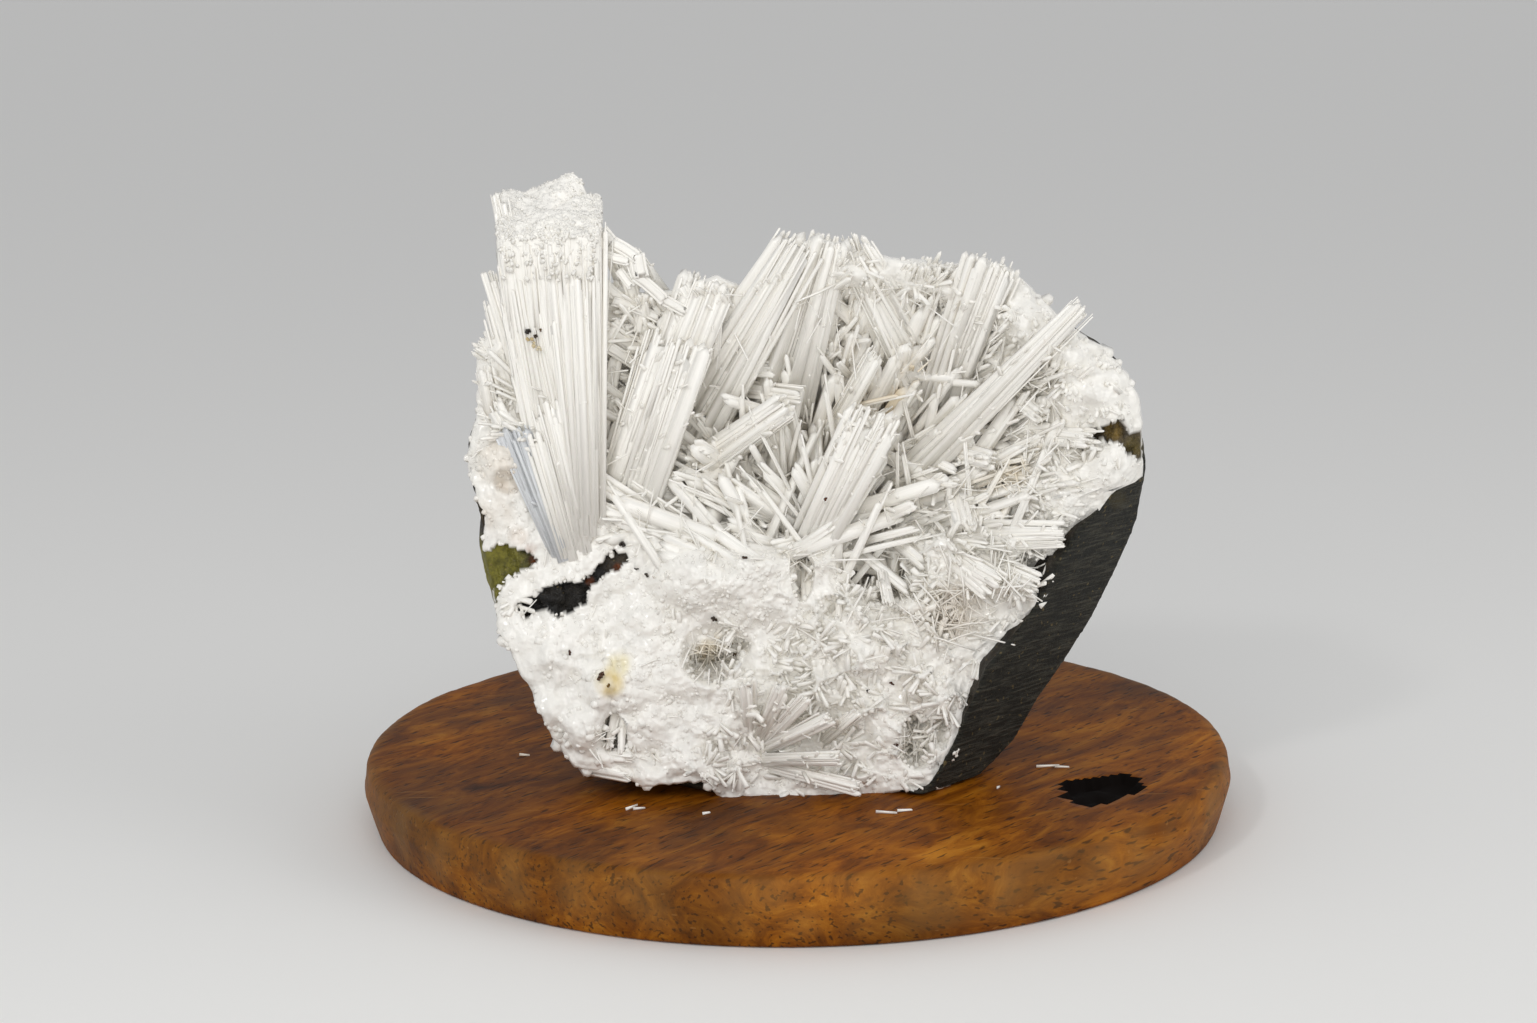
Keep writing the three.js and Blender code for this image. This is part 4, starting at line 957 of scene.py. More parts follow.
def make_column(settings):
    """The tall sheaf: fibres that fan up from one foot, and a sugary slanting crown."""
    rng = np.random.default_rng(505)
    growth = Growth()
    sides, levels = 176, 9
    angles = 2 * math.pi * (np.arange(sides) + 0.5) / sides
    shares = np.linspace(0, 1, levels)
    grooves = 0.3 * noise_at(np.column_stack([angles * 22, 0 * angles, 0 * angles]), 1.0, 85) - 0.1
    rings = np.array([column_ring(np.full(sides, t), angles, grooves) for t in shares])
    fibres = np.stack([np.broadcast_to(angles * 16, (levels, sides)), 0 * rings[..., 0], rings[..., 1] * 0.04], axis=-1)
    s = np.arange(sides)
    following = (s + 1) % sides
    quads = np.concatenate([np.stack([r * sides + s, r * sides + following, (r + 1) * sides + following,
                                      (r + 1) * sides + s], axis=-1) for r in range(levels - 1)])
    growth.add(rings, fibres, tinted(rings), quads[:, ::-1])
    crown_rings = 44
    patch = []
    for share in np.linspace(1, 0.02, crown_rings):
        ring = rings[-1].mean(axis=0) + (rings[-1] - rings[-1].mean(axis=0)) * share
        swell = crown_swell(ring, share)
        patch.append(ring + np.array([0.0, 0.8, -0.5]) * swell[:, None] * (1 if share < 1 else 0))
    patch = np.array(patch)
    quads = np.concatenate([np.stack([r * sides + s, r * sides + following, (r + 1) * sides + following,
                                      (r + 1) * sides + s], axis=-1) for r in range(crown_rings - 1)])
    growth.add(patch, patch, tinted(patch), quads[:, ::-1], [((crown_rings - 1) * sides + s)[None, ::-1]])
    growth.add(rings[0], rings[0], tinted(rings[0]), None, [s[None, ::-1]])
    many = settings.sheaf_blades
    place = rng.uniform(0, 2 * math.pi, many)
    low = 0.75 * rng.random(many) ** 1.5
    high = np.minimum(low + rng.uniform(0.3, 0.8, many), 1.0 - 0.16 * rng.random(many) ** 2)
    width = 0.5 + 1.5 * rng.random(many) ** 1.5
    feet = column_ring(low, place, -0.35)
    tips = column_ring(high, place + rng.normal(0, 0.03, many), rng.uniform(-0.3, 0.15, many))
    facing = np.arctan2(np.sin(place) * COLUMN_TOP[4] / COLUMN_TOP[3], np.cos(place))
    grow(growth, rng, feet, tips, width * 0.8, width, sides=8, levels=2, aspect=rng.uniform(0.35, 0.55, many),
         groove=0.12, ragged=0.9, point=0.6, roll=math.pi / 2 + facing, stained=False)
    for row in COLUMN_BLADES:
        bundle(growth, rng, row[:3], row[3:6], row[6], row[7], 0.5 * row[7] + 0.6, ragged=6.0, rooted=False,
               shoots=0.12, base=COOL if row[8] else WHITE, stained=False, shade=(0.86 if row[8] else 0.97, 1.0))
    for foot, tip, width, bow in TANGLE:
        ends = seen([foot, tip])
        curved(growth, rng, ends[0], ends[1], 0.8 * width, bow)
    return growth


def curved(growth, rng, start, end, width, bow):
    """A thin crystal that bends sideways by bow mm between its ends, with a thinner one beside it."""
    side = unit(np.cross(end - start, [0.0, 0.0, 1.0]))
    for wide, shift in ((1.0, 0.0), (0.6, 0.5), (0.45, -0.55)):
        offset = side * shift * width + [0.0, 0.0, -0.3]
        grow(growth, rng, start + offset, end + offset, width * wide, width * wide, sides=12, levels=8, groove=0.2,
             ragged=0.9, aspect=0.4, roll=0.1, bow=side * bow)


def crown_swell(points, share):
    """How far the crown rises over its flat slope, with bumps from 2 to 7 mm wide."""
    grains = 0.9 * bumps(points[:, 0], points[:, 2] + points[:, 1], 2.3, 87)
    return 1.2 * noise_at(points, 7.0, 81) + 0.8 * noise_at(points, 3.0, 83) + 1.6 * (1 - share ** 3) + grains


def crown_spots(rng, many):
    """Places on the crown of the tall sheaf, and a little way down its front."""
    u, v = rng.uniform(-1, 1, many), rng.uniform(-1, 1, many)
    v[rng.random(many) < 0.1] = -1.15
    v = np.where(v < -1, -1 - 0.25 * rng.random(many) ** 2, v)
    hang = np.minimum(v + 1.0, 0.0)
    angles = np.arctan2(np.maximum(v, -1), u)
    reach = np.maximum(np.abs(u), np.abs(np.maximum(v, -1)))
    edge = column_ring(np.ones(many), angles, 0.1)
    centre = seen(np.array([COLUMN_RIGHT - COLUMN_TOP[3] / 2, COLUMN_TOP[1], COLUMN_TOP[2]]))
    spots = centre + (edge - centre) * reach[:, None]
    swell = crown_swell(spots, reach)
    lift = np.array([0.0, 0.8, -0.5]) * swell[:, None]
    return spots + lift * (hang == 0)[:, None] + np.column_stack([0 * hang, 50 * hang, 0.7 * (hang < 0)])


def make_crown(settings):
    """The sugary crown of the tall sheaf."""
    rng = np.random.default_rng(515)
    growth = Growth()
    many = settings.crown_count
    spots = crown_spots(rng, many)
    size = rng.uniform(0.6, 1.3, many)
    ways = leaning(rng, np.broadcast_to(unit(np.array([0.0, 0.7, -0.7])), (many, 3)), 0.5)
    grow(growth, rng, spots - ways * size[:, None], spots + ways * (size * 0.35)[:, None], size, size * 0.8,
         sides=4, aspect=rng.uniform(0.7, 1, many), groove=0.0, ragged=0.35, point=0.15,
         roll=rng.uniform(0, 3, many))
    return growth


# Thin bent crystals beside the tall sheaf: foot, tip, width and bend
TANGLE = [
    ((-61, 187, -5), (-57, 182, -5), 3.2, 0), ((-58, 183, -5), (-49.5, 177.5, -5), 3.4, -0.3),
    ((-61, 179, -5), (-52, 176.5, -5), 2.6, 0.2), ((-50, 179, -5), (-48.5, 171, -4), 4.2, 0.2),
    ((-53, 178, -4), (-50.5, 171, -4), 2.2, 0), ((-50.5, 172, -4), (-41, 163.5, 0), 3.2, -0.4),
    ((-43, 165, 0), (-34, 160, 4), 3.0, 0), ((-53.5, 173, -2), (-44, 146, 12), 3.6, 0.6),
    ((-56, 174, -3), (-51.5, 168, -3), 2.4, 0), ((-61, 170, -2), (-53, 163, 3), 3.0, 0.3),
    ((-58, 164, 0), (-43, 158, 6), 2.6, -0.5), ((-62, 157, 2), (-46, 145, 14), 3.4, 0.3),
    ((-61, 150, 4), (-45, 139, 14), 3.2, -0.3), ((-47, 166, 0), (-50, 153, 8), 2.6, 0.2),
    ((-57, 130, 12), (-42, 136, 12), 2.8, 0.2), ((-36, 168, 2), (-22, 141, 16), 3.0, 0.4),
    ((-24, 158, 6), (-26, 128, 18), 2.4, 0.2), ((-17, 152, 12), (-35, 140, 16), 3.0, 0.3),
]

# Blades that part from the tall sheaf: foot, tip, widths, and whether it is clear and grey-blue
COLUMN_BLADES = [
    (-70, 92, 3, -89, 158, -5, 5, 6, 0), (-71, 96, 3, -83, 156, -6.5, 4, 5, 0),
    (-70, 90, 3, -76, 160, -7.5, 5, 6, 0), (-67, 88, 3, -69, 172, -9.5, 6, 9, 0),
    (-65, 92, 4, -62.5, 190, -8, 5, 5, 0), (-77, 82, 5, -94, 123, 0, 5, 6, 1), (-75, 80, 4, -89, 124, -2, 5, 6, 1),
    (-73, 80, 4, -84, 122, -3, 5, 6, 0), (-73, 84, 6, -98, 132, 1, 4, 6, 0), (-69, 82, 5, -80, 132, -3, 7, 9, 0),
    (-84, 128, 2, -98, 174, -3, 5, 4, 0), (-88, 122, 4, -98.5, 165, 0, 4, 4, 0),
    (-84, 140, -2, -94.5, 199, -6, 5, 5, 0),
]


def make_basalt(settings):
    """Basalt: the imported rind, remeshed finely and roughened where it broke, flat where it was sawn."""
    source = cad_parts["basalt_rind"]
    rock = bpy.data.objects.new("basalt_nodule", source.data.copy())
    bpy.context.scene.collection.objects.link(rock)
    rock.data.materials.clear()
    remesh = rock.modifiers.new("remesh", "REMESH")
    remesh.mode = "VOXEL"
    remesh.voxel_size = settings.rock_grain * MM
    evaluated = rock.evaluated_get(bpy.context.evaluated_depsgraph_get())
    mesh = bpy.data.meshes.new_from_object(evaluated)
    rock.modifiers.clear()
    rock.data = mesh
    mesh.name = "basalt_nodule"
    count = len(mesh.vertices)
    points = np.empty(count * 3, np.float32)
    normals = np.empty(count * 3, np.float32)
    mesh.vertices.foreach_get("co", points)
    mesh.vertices.foreach_get("normal", normals)
    points, normals = points.reshape(-1, 3).astype(float), normals.reshape(-1, 3).astype(float)
    face = to_face(points)
    from_saw = np.abs(face[:, 2] - saw_depth(face[:, 0], face[:, 1])) * 0.6
    sawn = 1.0 - smooth(0.5, 2.5, from_saw)
    on_stand = 1.0 - smooth(0.5, 3.0, points[:, 2] / MM - STAND_TOP)
    place = points / MM
    rough = (1.5 * noise_at(place, 17.0, 31) + 0.9 * noise_at(place, 7.0, 33)
             + 0.5 * noise_at(place, 3.2, 35) - 0.9)
    shift = rough * (1 - sawn) * (1 - on_stand) + 0.06 * noise_at(place, 2.0, 37)
    points += normals * (shift * MM)[:, None]
    mesh.vertices.foreach_set("co", points.astype(np.float32).ravel())
    points = to_world(behind_rim(to_face(points), sawn))
    mesh.vertices.foreach_set("co", points.astype(np.float32).ravel())
    tint = basalt_tint(face, sawn)
    layer = mesh.attributes.new("tint", "FLOAT_COLOR", "POINT")
    layer.data.foreach_set("color", np.column_stack([tint, np.ones(count)]).astype(np.float32).ravel())
    layer = mesh.attributes.new("sawn", "FLOAT", "POINT")
    layer.data.foreach_set("value", sawn.astype(np.float32))
    mesh.materials.clear()
    mesh.materials.append(basalt())
    mesh.update()
    return rock


def behind_rim(face, sawn):
    """Rock points kept inside the crust's outline as seen, but for a thin dark edge at both sides."""
    flat = shown(face)
    bearing = np.degrees(np.arctan2(flat[:, 1] - HUB[1], flat[:, 0] - HUB[0]))
    left = np.abs((bearing - 185 + 180) % 360 - 180)
    right = np.abs(bearing - 20)
    lip = 1.4 * (1 - smooth(16, 34, left)) + 1.2 * (1 - smooth(12, 24, right))
    reach = radius_from(CRUST_TABLE, np.radians(bearing))
    away = np.hypot(flat[:, 0] - HUB[0], flat[:, 1] - HUB[1])
    limit = reach - 1.6 + 2.2 * lip + 0.6 * noise_at(face, 6.0, 91)
    saw_side = smooth(0.0, 3.0, radius_from(SAWN_TABLE, np.radians(bearing)) - reach)
    limit = limit * (1 - saw_side) + (radius_from(SAWN_TABLE, np.radians(bearing)) + 0.5) * saw_side
    low = smooth(-62, -48, bearing) + (1 - smooth(-135, -118, bearing))
    shrink = np.where((away > limit) & (low > 0.5), limit / np.maximum(away, 1.0), 1.0)
    face = face.copy()
    face[:, :2] = HUB + (face[:, :2] - HUB) * shrink[:, None]
    return face


# Coatings on the rock where it comes through the crust: across, up, radius, strength and colour
COATINGS = [
    (-97, 78, 12, 1.0, "#6F6A2A"), (-99, 64, 6, 0.6, "#6F6A2A"), (103.5, 119.7, 3.5, 0.9, "#6E5822"),
    (110, 114.4, 4, 0.8, "#564A22"), (104.5, 97.5, 3.5, 0.5, "#4A4228"), (-58, 79, 5, 0.5, "#2C2214"),
    (-84.8, 80.5, 2.2, 0.8, "#6A3410"), (-58, 77.5, 1.6, 0.7, "#6A3410"), (-67, 73.2, 1.6, 0.7, "#6A3410"),
    (-103, 71, 3.0, 0.6, "#5A3010"),
]


def basalt_tint(face, sawn):
    """Colour of the rock: dark grey-green where sawn, browner outside, olive where celadonite coats it."""
    flat = shown(face)
    dark = np.array(rgb("#171813"))
    skin = np.array(rgb("#2A2620"))
    clay = (0.55 * smooth(0.0, 0.6, noise_at(face, 24.0, 97)) + 0.35 * smooth(0.1, 0.6, noise_at(face, 7.0, 99)))[:, None]
    skin = skin * (1 - clay) + np.array(rgb("#5A4E3A")) * clay
    colour = skin + (dark - skin) * sawn[:, None]
    behind = smooth(20.0, 40.0, face[:, 2])
    vug = smooth(0.7, 1.1, np.hypot((flat[:, 0] + 74) / 24, (flat[:, 1] - 70) / 12))
    colour = colour * (0.15 + 0.85 * np.maximum(vug, behind))[:, None]
    for a, b, radius, strength, code in COATINGS:
        near = 1.0 - smooth(0.5, 1.2, np.hypot(flat[:, 0] - a, flat[:, 1] - b) / radius)
        weight = (near * strength * (1 - behind))[:, None]
        colour = colour * (1 - weight) + np.array(rgb(code)) * weight
    mottled = 1.0 + (1 - sawn) * (0.4 * noise_at(face, 4.0, 93) + 0.5 * noise_at(face, 1.4, 95))
    return colour * mottled[:, None]


def basalt(name="basalt_sawn_and_weathered", dullest=0.85, glossiest=0.5, relief=0.0006, shine=0.3):
    """Basalt, sawn and weathered: near-black, with fine saw lines, ochre specks and dull broken grain."""
    material, tree, shader = new_material(name, **{"IOR": 1.5, "Specular IOR Level": shine})
    tint = node(tree, "ShaderNodeAttribute", attribute_name="tint")
    sawn = node(tree, "ShaderNodeAttribute", attribute_name="sawn")
    place = node(tree, "ShaderNodeTexCoord")
    grain = node(tree, "ShaderNodeTexNoise", {
        "Vector": place.outputs["Object"], "Scale": 1000 / GRAIN_SIZE, "Detail": 5.0, "Roughness": 0.7})
    specks = node(tree, "ShaderNodeTexNoise", {
        "Vector": place.outputs["Object"], "Scale": 1000 / SPECK_SIZE, "Detail": 1.0})
    speck_mask = node(tree, "ShaderNodeMapRange", {
        "Value": specks.outputs["Fac"], "From Min": 0.68, "From Max": 0.74, "To Max": 0.55})
    lines_at = node(tree, "ShaderNodeMapping", {
        "Vector": place.outputs["Object"], "Scale": (90.0, 90.0, 1000 / SAW_LINE_SPACING), "Rotation": (0.0, 0.02, 0.0)})
    lines = node(tree, "ShaderNodeTexNoise", {"Vector": lines_at.outputs["Vector"], "Scale": 1.0, "Detail": 3.0,
                                              "Roughness": 0.7})
    line_share = node(tree, "ShaderNodeMapRange", {"Value": lines.outputs["Fac"], "From Min": 0.45, "From Max": 0.68})
    line_mask = node(tree, "ShaderNodeMath", {0: line_share.outputs["Result"], 1: sawn.outputs["Fac"]},
                     operation="MULTIPLY")
    shade = node(tree, "ShaderNodeMapRange", {
        "Value": grain.outputs["Fac"], "From Min": 0.3, "From Max": 0.7, "To Min": 0.6, "To Max": 1.5})
    base = node(tree, "ShaderNodeMix", {"Factor": 1.0, 6: tint.outputs["Color"], 7: shade.outputs["Result"]},
                data_type="RGBA", blend_type="MULTIPLY")
    lined = node(tree, "ShaderNodeMix", {"Factor": line_mask.outputs["Value"], 6: base.outputs[2], 7: rgba("#46443A")},
                 data_type="RGBA")
    specked = node(tree, "ShaderNodeMix", {"Factor": speck_mask.outputs["Result"], 6: lined.outputs[2],
                                           7: rgba("#7A6A45")}, data_type="RGBA")
    height = node(tree, "ShaderNodeMath", {0: grain.outputs["Fac"], 1: line_mask.outputs["Value"]}, operation="ADD")
    bump = node(tree, "ShaderNodeBump", {"Height": height.outputs["Value"], "Strength": 0.7, "Distance": relief})
    gloss = node(tree, "ShaderNodeMapRange", {
        "Value": grain.outputs["Fac"], "From Min": 0.3, "From Max": 0.7, "To Min": glossiest, "To Max": dullest})
    tree.links.new(specked.outputs[2], shader.inputs["Base Color"])
    tree.links.new(gloss.outputs["Result"], shader.inputs["Roughness"])
    tree.links.new(bump.outputs["Normal"], shader.inputs["Normal"])
    return material


# Real sizes in the rock's finish, in mm: its grain, its ochre specks, and the gap between saw lines, which
# is drawn twice as coarse as the saw left it so that it shows
GRAIN_SIZE = 1.2
SPECK_SIZE = 1.8
SAW_LINE_SPACING = 0.9


# The knot hole in the board, as an outline on its top in mm
KNOT_HOLE = [(87, -62), (90, -54), (99.5, -50), (109.5, -47), (113, -56), (110, -66), (104.6, -72.8),
             (97, -80), (91, -80), (88, -72)]


def make_board(settings):
    """The turned board: a bevelled edge worn round, a flat top and a knot hole."""
    around = settings.board_around
    high, widest = STAND_HIGH.z, STAND_HIGH.x
    bearing = np.linspace(0, 2 * math.pi, around, endpoint=False)
    profile = [(widest - 6.0, 0.0), (widest - 4.6, 0.5), (widest - 4.0, 1.6), (widest - 2.6, 6.0),
               (widest - 1.0, 11.6), (widest - 0.25, 14.4), (widest - 0.1, 15.6), (widest - 0.6, 17.8),
               (widest - 1.0, 21.6), (widest - 1.5, 22.9), (widest - 2.6, 23.7), (widest - 4.4, high)]
    tops = np.linspace(widest - 6.5, 1.5, 64)
    rings = [(radius, height) for radius, height in profile] + [(radius, high) for radius in tops]
    rings = np.array(rings)
    x = rings[:, :1] * np.cos(bearing)
    y = rings[:, :1] * np.sin(bearing)
    z = np.broadcast_to(rings[:, 1:], x.shape).copy()
    spots = np.stack([x, y, z], axis=-1)
    wear = 0.28 * noise_at(spots, 14.0, 41) + 0.12 * noise_at(spots, 3.5, 43) - 0.2
    rim = smooth(widest - 9.0, widest - 3.0, np.hypot(x, y)) * smooth(0.4, 3.0, z)
    scale = 1.0 + wear * rim / np.maximum(np.hypot(x, y), 1.0)
    x, y = x * scale, y * scale
    z = z + np.minimum(wear, 0.0) * rim
    ragged = spots + np.stack([1.6 * noise_at(spots, 4.0, 45), 1.6 * noise_at(spots, 4.0, 47), 0 * z], axis=-1)
    hole = inside(KNOT_HOLE, ragged[..., 0], ragged[..., 1]) & (z > high - 1)
    z = z - (3.0 + 1.2 * noise_at(spots, 3.0, 51)) * hole
    points = np.stack([x, y, z], axis=-1)
    growth = Growth()
    k = np.arange(around)
    following = (k + 1) % around
    quads = np.concatenate([np.stack([r * around + k, r * around + following,
                                      (r + 1) * around + following, (r + 1) * around + k], axis=-1)
                            for r in range(len(rings) - 1)])
    worn = smooth(widest - 7.0, widest - 1.5, np.hypot(x, y)) * smooth(0.0, 8.0, z) * (0.5 + 0.5 * noise_at(spots, 9.0, 49))
    tint = np.stack([hole.ravel().astype(float), worn.ravel(), 0 * worn.ravel()], axis=-1)
    flat = points.reshape(-1, 3)
    # Faces in the knot hole take a near-black material: painted shade for the depth of the hole
    corner = hole.ravel()[quads]
    knot_hole_shade = corner.any(axis=1)
    growth.add(flat * MM, flat, tint, quads[~knot_hole_shade])
    growth.rock_faces = [quads[knot_hole_shade]]
    centres = np.concatenate([[[0, 0, high]], points[-1]]) * MM
    triangles = np.stack([0 * k, k + 1, following + 1], axis=-1)
    growth.add(centres, centres, 0 * centres, None, [triangles])
    under = np.concatenate([[[0, 0, 0.0]], points[0]]) * MM
    growth.add(under, under, 0 * under, None, [triangles[:, ::-1]])
    return growth


def old_board():
    """Old oiled hardwood, turned and worn: warm orange-brown, dark pores along the grain, grey edges."""
    material, tree, shader = new_material("hardwood_turned_oiled_worn", **{"IOR": 1.48, "Specular IOR Level": 0.1})
    place = node(tree, "ShaderNodeTexCoord")
    tint = node(tree, "ShaderNodeAttribute", attribute_name="tint")
    marks = node(tree, "ShaderNodeSeparateColor", {"Color": tint.outputs["Color"]})
    turned = node(tree, "ShaderNodeMapping", {
        "Vector": place.outputs["Object"], "Rotation": (0.0, 0.0, math.radians(-50.0))})
    along = node(tree, "ShaderNodeMapping", {"Vector": turned.outputs["Vector"], "Scale": (22.0, 75.0, 75.0)})
    bands = node(tree, "ShaderNodeTexNoise", {"Vector": along.outputs["Vector"], "Scale": 1.0, "Detail": 5.0,
                                              "Roughness": 0.7, "Distortion": 1.6})
    colour = node(tree, "ShaderNodeValToRGB", {"Fac": bands.outputs["Fac"]}, stops=[
        (0.25, "#4A2403"), (0.42, "#784006"), (0.56, "#98580B"), (0.75, "#B87820")])
    blotch = node(tree, "ShaderNodeTexNoise", {"Vector": place.outputs["Object"], "Scale": 22.0, "Detail": 4.0})
    blotched = node(tree, "ShaderNodeMapRange", {
        "Value": blotch.outputs["Fac"], "From Min": 0.3, "From Max": 0.7, "To Min": 0.35, "To Max": 1.1})
    toned = node(tree, "ShaderNodeMix", {"Factor": 1.0, 6: colour.outputs["Color"], 7: blotched.outputs["Result"]},
                 data_type="RGBA", blend_type="MULTIPLY")
    pore_at = node(tree, "ShaderNodeMapping", {"Vector": turned.outputs["Vector"], "Scale": (130.0, 750.0, 750.0)})
    pores = node(tree, "ShaderNodeTexNoise", {"Vector": pore_at.outputs["Vector"], "Scale": 1.0, "Detail": 1.0})
    pore_mask = node(tree, "ShaderNodeMapRange", {
        "Value": pores.outputs["Fac"], "From Min": 0.6, "From Max": 0.68, "To Max": 0.8})
    pored = node(tree, "ShaderNodeMix", {"Factor": pore_mask.outputs["Result"], 6: toned.outputs[2],
                                         7: rgba("#2A1405")}, data_type="RGBA")
    scratch_at = node(tree, "ShaderNodeMapping", {
        "Vector": place.outputs["Object"], "Rotation": (0.0, 0.0, math.radians(62.0)), "Scale": (40.0, 700.0, 700.0)})
    scratches = node(tree, "ShaderNodeTexNoise", {"Vector": scratch_at.outputs["Vector"], "Scale": 1.0, "Detail": 0.0})
    scratch_mask = node(tree, "ShaderNodeMapRange", {
        "Value": scratches.outputs["Fac"], "From Min": 0.8, "From Max": 0.84, "To Max": 0.25})
    scratched = node(tree, "ShaderNodeMix", {"Factor": scratch_mask.outputs["Result"], 6: pored.outputs[2],
                                             7: rgba("#B98446")}, data_type="RGBA")
    worn_share = node(tree, "ShaderNodeMath", {0: marks.outputs["Green"], 1: 0.55}, operation="MULTIPLY")
    worn = node(tree, "ShaderNodeMix", {"Factor": worn_share.outputs["Value"], 6: scratched.outputs[2],
                                        7: rgba("#8F6A3C")}, data_type="RGBA")
    gloss = node(tree, "ShaderNodeMapRange", {"Value": blotch.outputs["Fac"], "To Min": 0.45, "To Max": 0.65})
    height = node(tree, "ShaderNodeMath", {0: bands.outputs["Fac"], 1: pore_mask.outputs["Result"]},
                  operation="SUBTRACT")
    bump = node(tree, "ShaderNodeBump", {"Height": height.outputs["Value"], "Strength": 0.25, "Distance": 0.0004})
    tree.links.new(worn.outputs[2], shader.inputs["Base Color"])
    tree.links.new(gloss.outputs["Result"], shader.inputs["Roughness"])
    tree.links.new(bump.outputs["Normal"], shader.inputs["Normal"])
    return material


# Crystal splinters that lie on the board: centre, length and bearing
SPLINTERS = [(84.4, -36.4, 8, 0.1), (89, -37.8, 5, -0.2), (-54.4, -76.3, 6, 0.9), (-52, -78, 4, 0.2),
             (-93.6, -14.5, 4, -0.3), (-30, -84, 3, 0.5), (28, -86, 7, -0.25), (34, -84, 5, 0.15),
             (66, -60, 2, 1.0), (-70, -40, 2.5, 0.4)]


def make_splinters(settings):
    """Loose crystal splinters on the board."""
    rng = np.random.default_rng(606)
    growth = Growth()
    for x, y, length, bearing in SPLINTERS:
        way = np.array([math.cos(bearing), math.sin(bearing), 0.0])
        centre = np.array([x, y, STAND_TOP + 0.45])
        ends = to_face(np.array([centre - way * length / 2, centre + way * length / 2]) * MM)
        grow(growth, rng, ends[:1], ends[1:], 0.9, 0.6, sides=4, ragged=0.8)
    return growth


def finish_piece(piece, slot, *replaced):
    """Rides the piece on the part's root body and hides the imported parts that it replaces; the slot is not used."""
    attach(piece, "root")
    if replaced:
        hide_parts(*replaced)


class GeodeSettings(bpy.types.PropertyGroup):
    """Sizes and counts of the geode and its stand."""

    bed_around: IntProperty(name="Crust steps around", description="Columns of the crust's mesh", default=540, min=60)
    bed_rings: IntProperty(name="Crust rings", description="Rings of the crust's mesh", default=160, min=20)
    druse_count: IntProperty(name="Druse crystals", description="Tiny crystal ends on the face", default=9000)
    blade_count: IntProperty(name="Blades", description="Broad blades in the hollow", default=1150)
    sheaf_blades: IntProperty(name="Sheaf blades", description="Blades on the tall sheaf", default=560)
    face_sprays: IntProperty(name="Small sprays", description="Small sprays over the lower half", default=210)
    spray_count: IntProperty(name="Sprays", description="Sprays of prisms in the hollow", default=110)
    needle_count: IntProperty(name="Needles", description="Hair-fine needles", default=700)
    crown_count: IntProperty(name="Crown crystals", description="Tiny ends on the tall sheaf's crown", default=1500)
    rock_grain: FloatProperty(name="Rock grain", description="Cell of the rock's mesh, in mm", default=1.6, min=0.8)
    board_around: IntProperty(name="Board steps", description="Columns of the board's mesh", default=288, min=48)


class StageSettings(bpy.types.PropertyGroup):
    """The studio."""

    floor_colour: FloatVectorProperty(name="Floor", description="Colour of the floor", subtype="COLOR",
                                      default=rgb("#F1F0ED"), min=0.0, max=1.0)
    key_power: FloatProperty(name="Key light", description="Power of the large soft light, in watts", default=4.6)
    fill_power: FloatProperty(name="Fill light", description="Power of the side light, in watts", default=2.3)
    glint_power: FloatProperty(name="Glint light", description="Power of the small light, in watts", default=1.5)


class GEODE_OT_crust(bpy.types.Operator):
    """Adds the white crust with its druse, prisms and needles"""

    bl_idname = "geode.crust"
    bl_label = "Scolecite crust"

    def execute(self, context):
        settings = context.scene.geode
        prisms, druse = scolecite_prisms(), scolecite_druse()
        bed = make_crust_bed(settings).build(
            "crust_bed", druse, second=basalt("basalt_fresh_vug", 0.35, 0.1, 0.001, 0.35))
        finish_piece(bed, "scolecite", "scolecite_crust")
        finish_piece(make_druse(settings).build("druse_crystals", druse), "scolecite")
        finish_piece(make_face_sprays(settings).build("small_sprays", prisms), "scolecite")
        finish_piece(make_hollow_prisms(settings).build("hollow_prisms", prisms), "scolecite")
        finish_piece(make_needles(settings).build("fine_needles", prisms), "scolecite")
        finish_piece(make_main_crystals(settings).build("main_crystals", prisms), "scolecite")
        finish_piece(make_splinters(settings).build("loose_splinters", prisms), "scolecite")
        return {"FINISHED"}


class GEODE_OT_column(bpy.types.Operator):
    """Adds the tall sheaf of crystals"""

    bl_idname = "geode.column"
    bl_label = "Tall sheaf"

    def execute(self, context):
        column = make_column(context.scene.geode).build("tall_sheaf", bpy.data.materials["scolecite_grown_prisms"])
        finish_piece(column, "scolecite", "tall_scolecite_column")
        crown = make_crown(context.scene.geode).build("sheaf_crown", bpy.data.materials["scolecite_sugary_druse"])
        finish_piece(crown, "scolecite")
        return {"FINISHED"}


class GEODE_OT_rock(bpy.types.Operator):
    """Adds the basalt nodule"""

    bl_idname = "geode.rock"
    bl_label = "Basalt rind"

    def execute(self, context):
        finish_piece(make_basalt(context.scene.geode), "basalt", "basalt_rind")
        return {"FINISHED"}


class GEODE_OT_board(bpy.types.Operator):
    """Adds the turned wooden board"""

    bl_idname = "geode.board"
    bl_label = "Wooden stand"

    def execute(self, context):
        # Near-black painted shade inside the knot hole, standing in for its depth
        knot_hole_shade, _, _ = new_material("hardwood_knot_hole_painted_shade", **{
            "Base Color": rgba("#0B0604"), "Roughness": 0.95, "Specular IOR Level": 0.1})
        board = make_board(context.scene.geode).build("turned_board", old_board(), world=True, second=knot_hole_shade)
        finish_piece(board, "stand_wood", "wooden_stand")
        return {"FINISHED"}


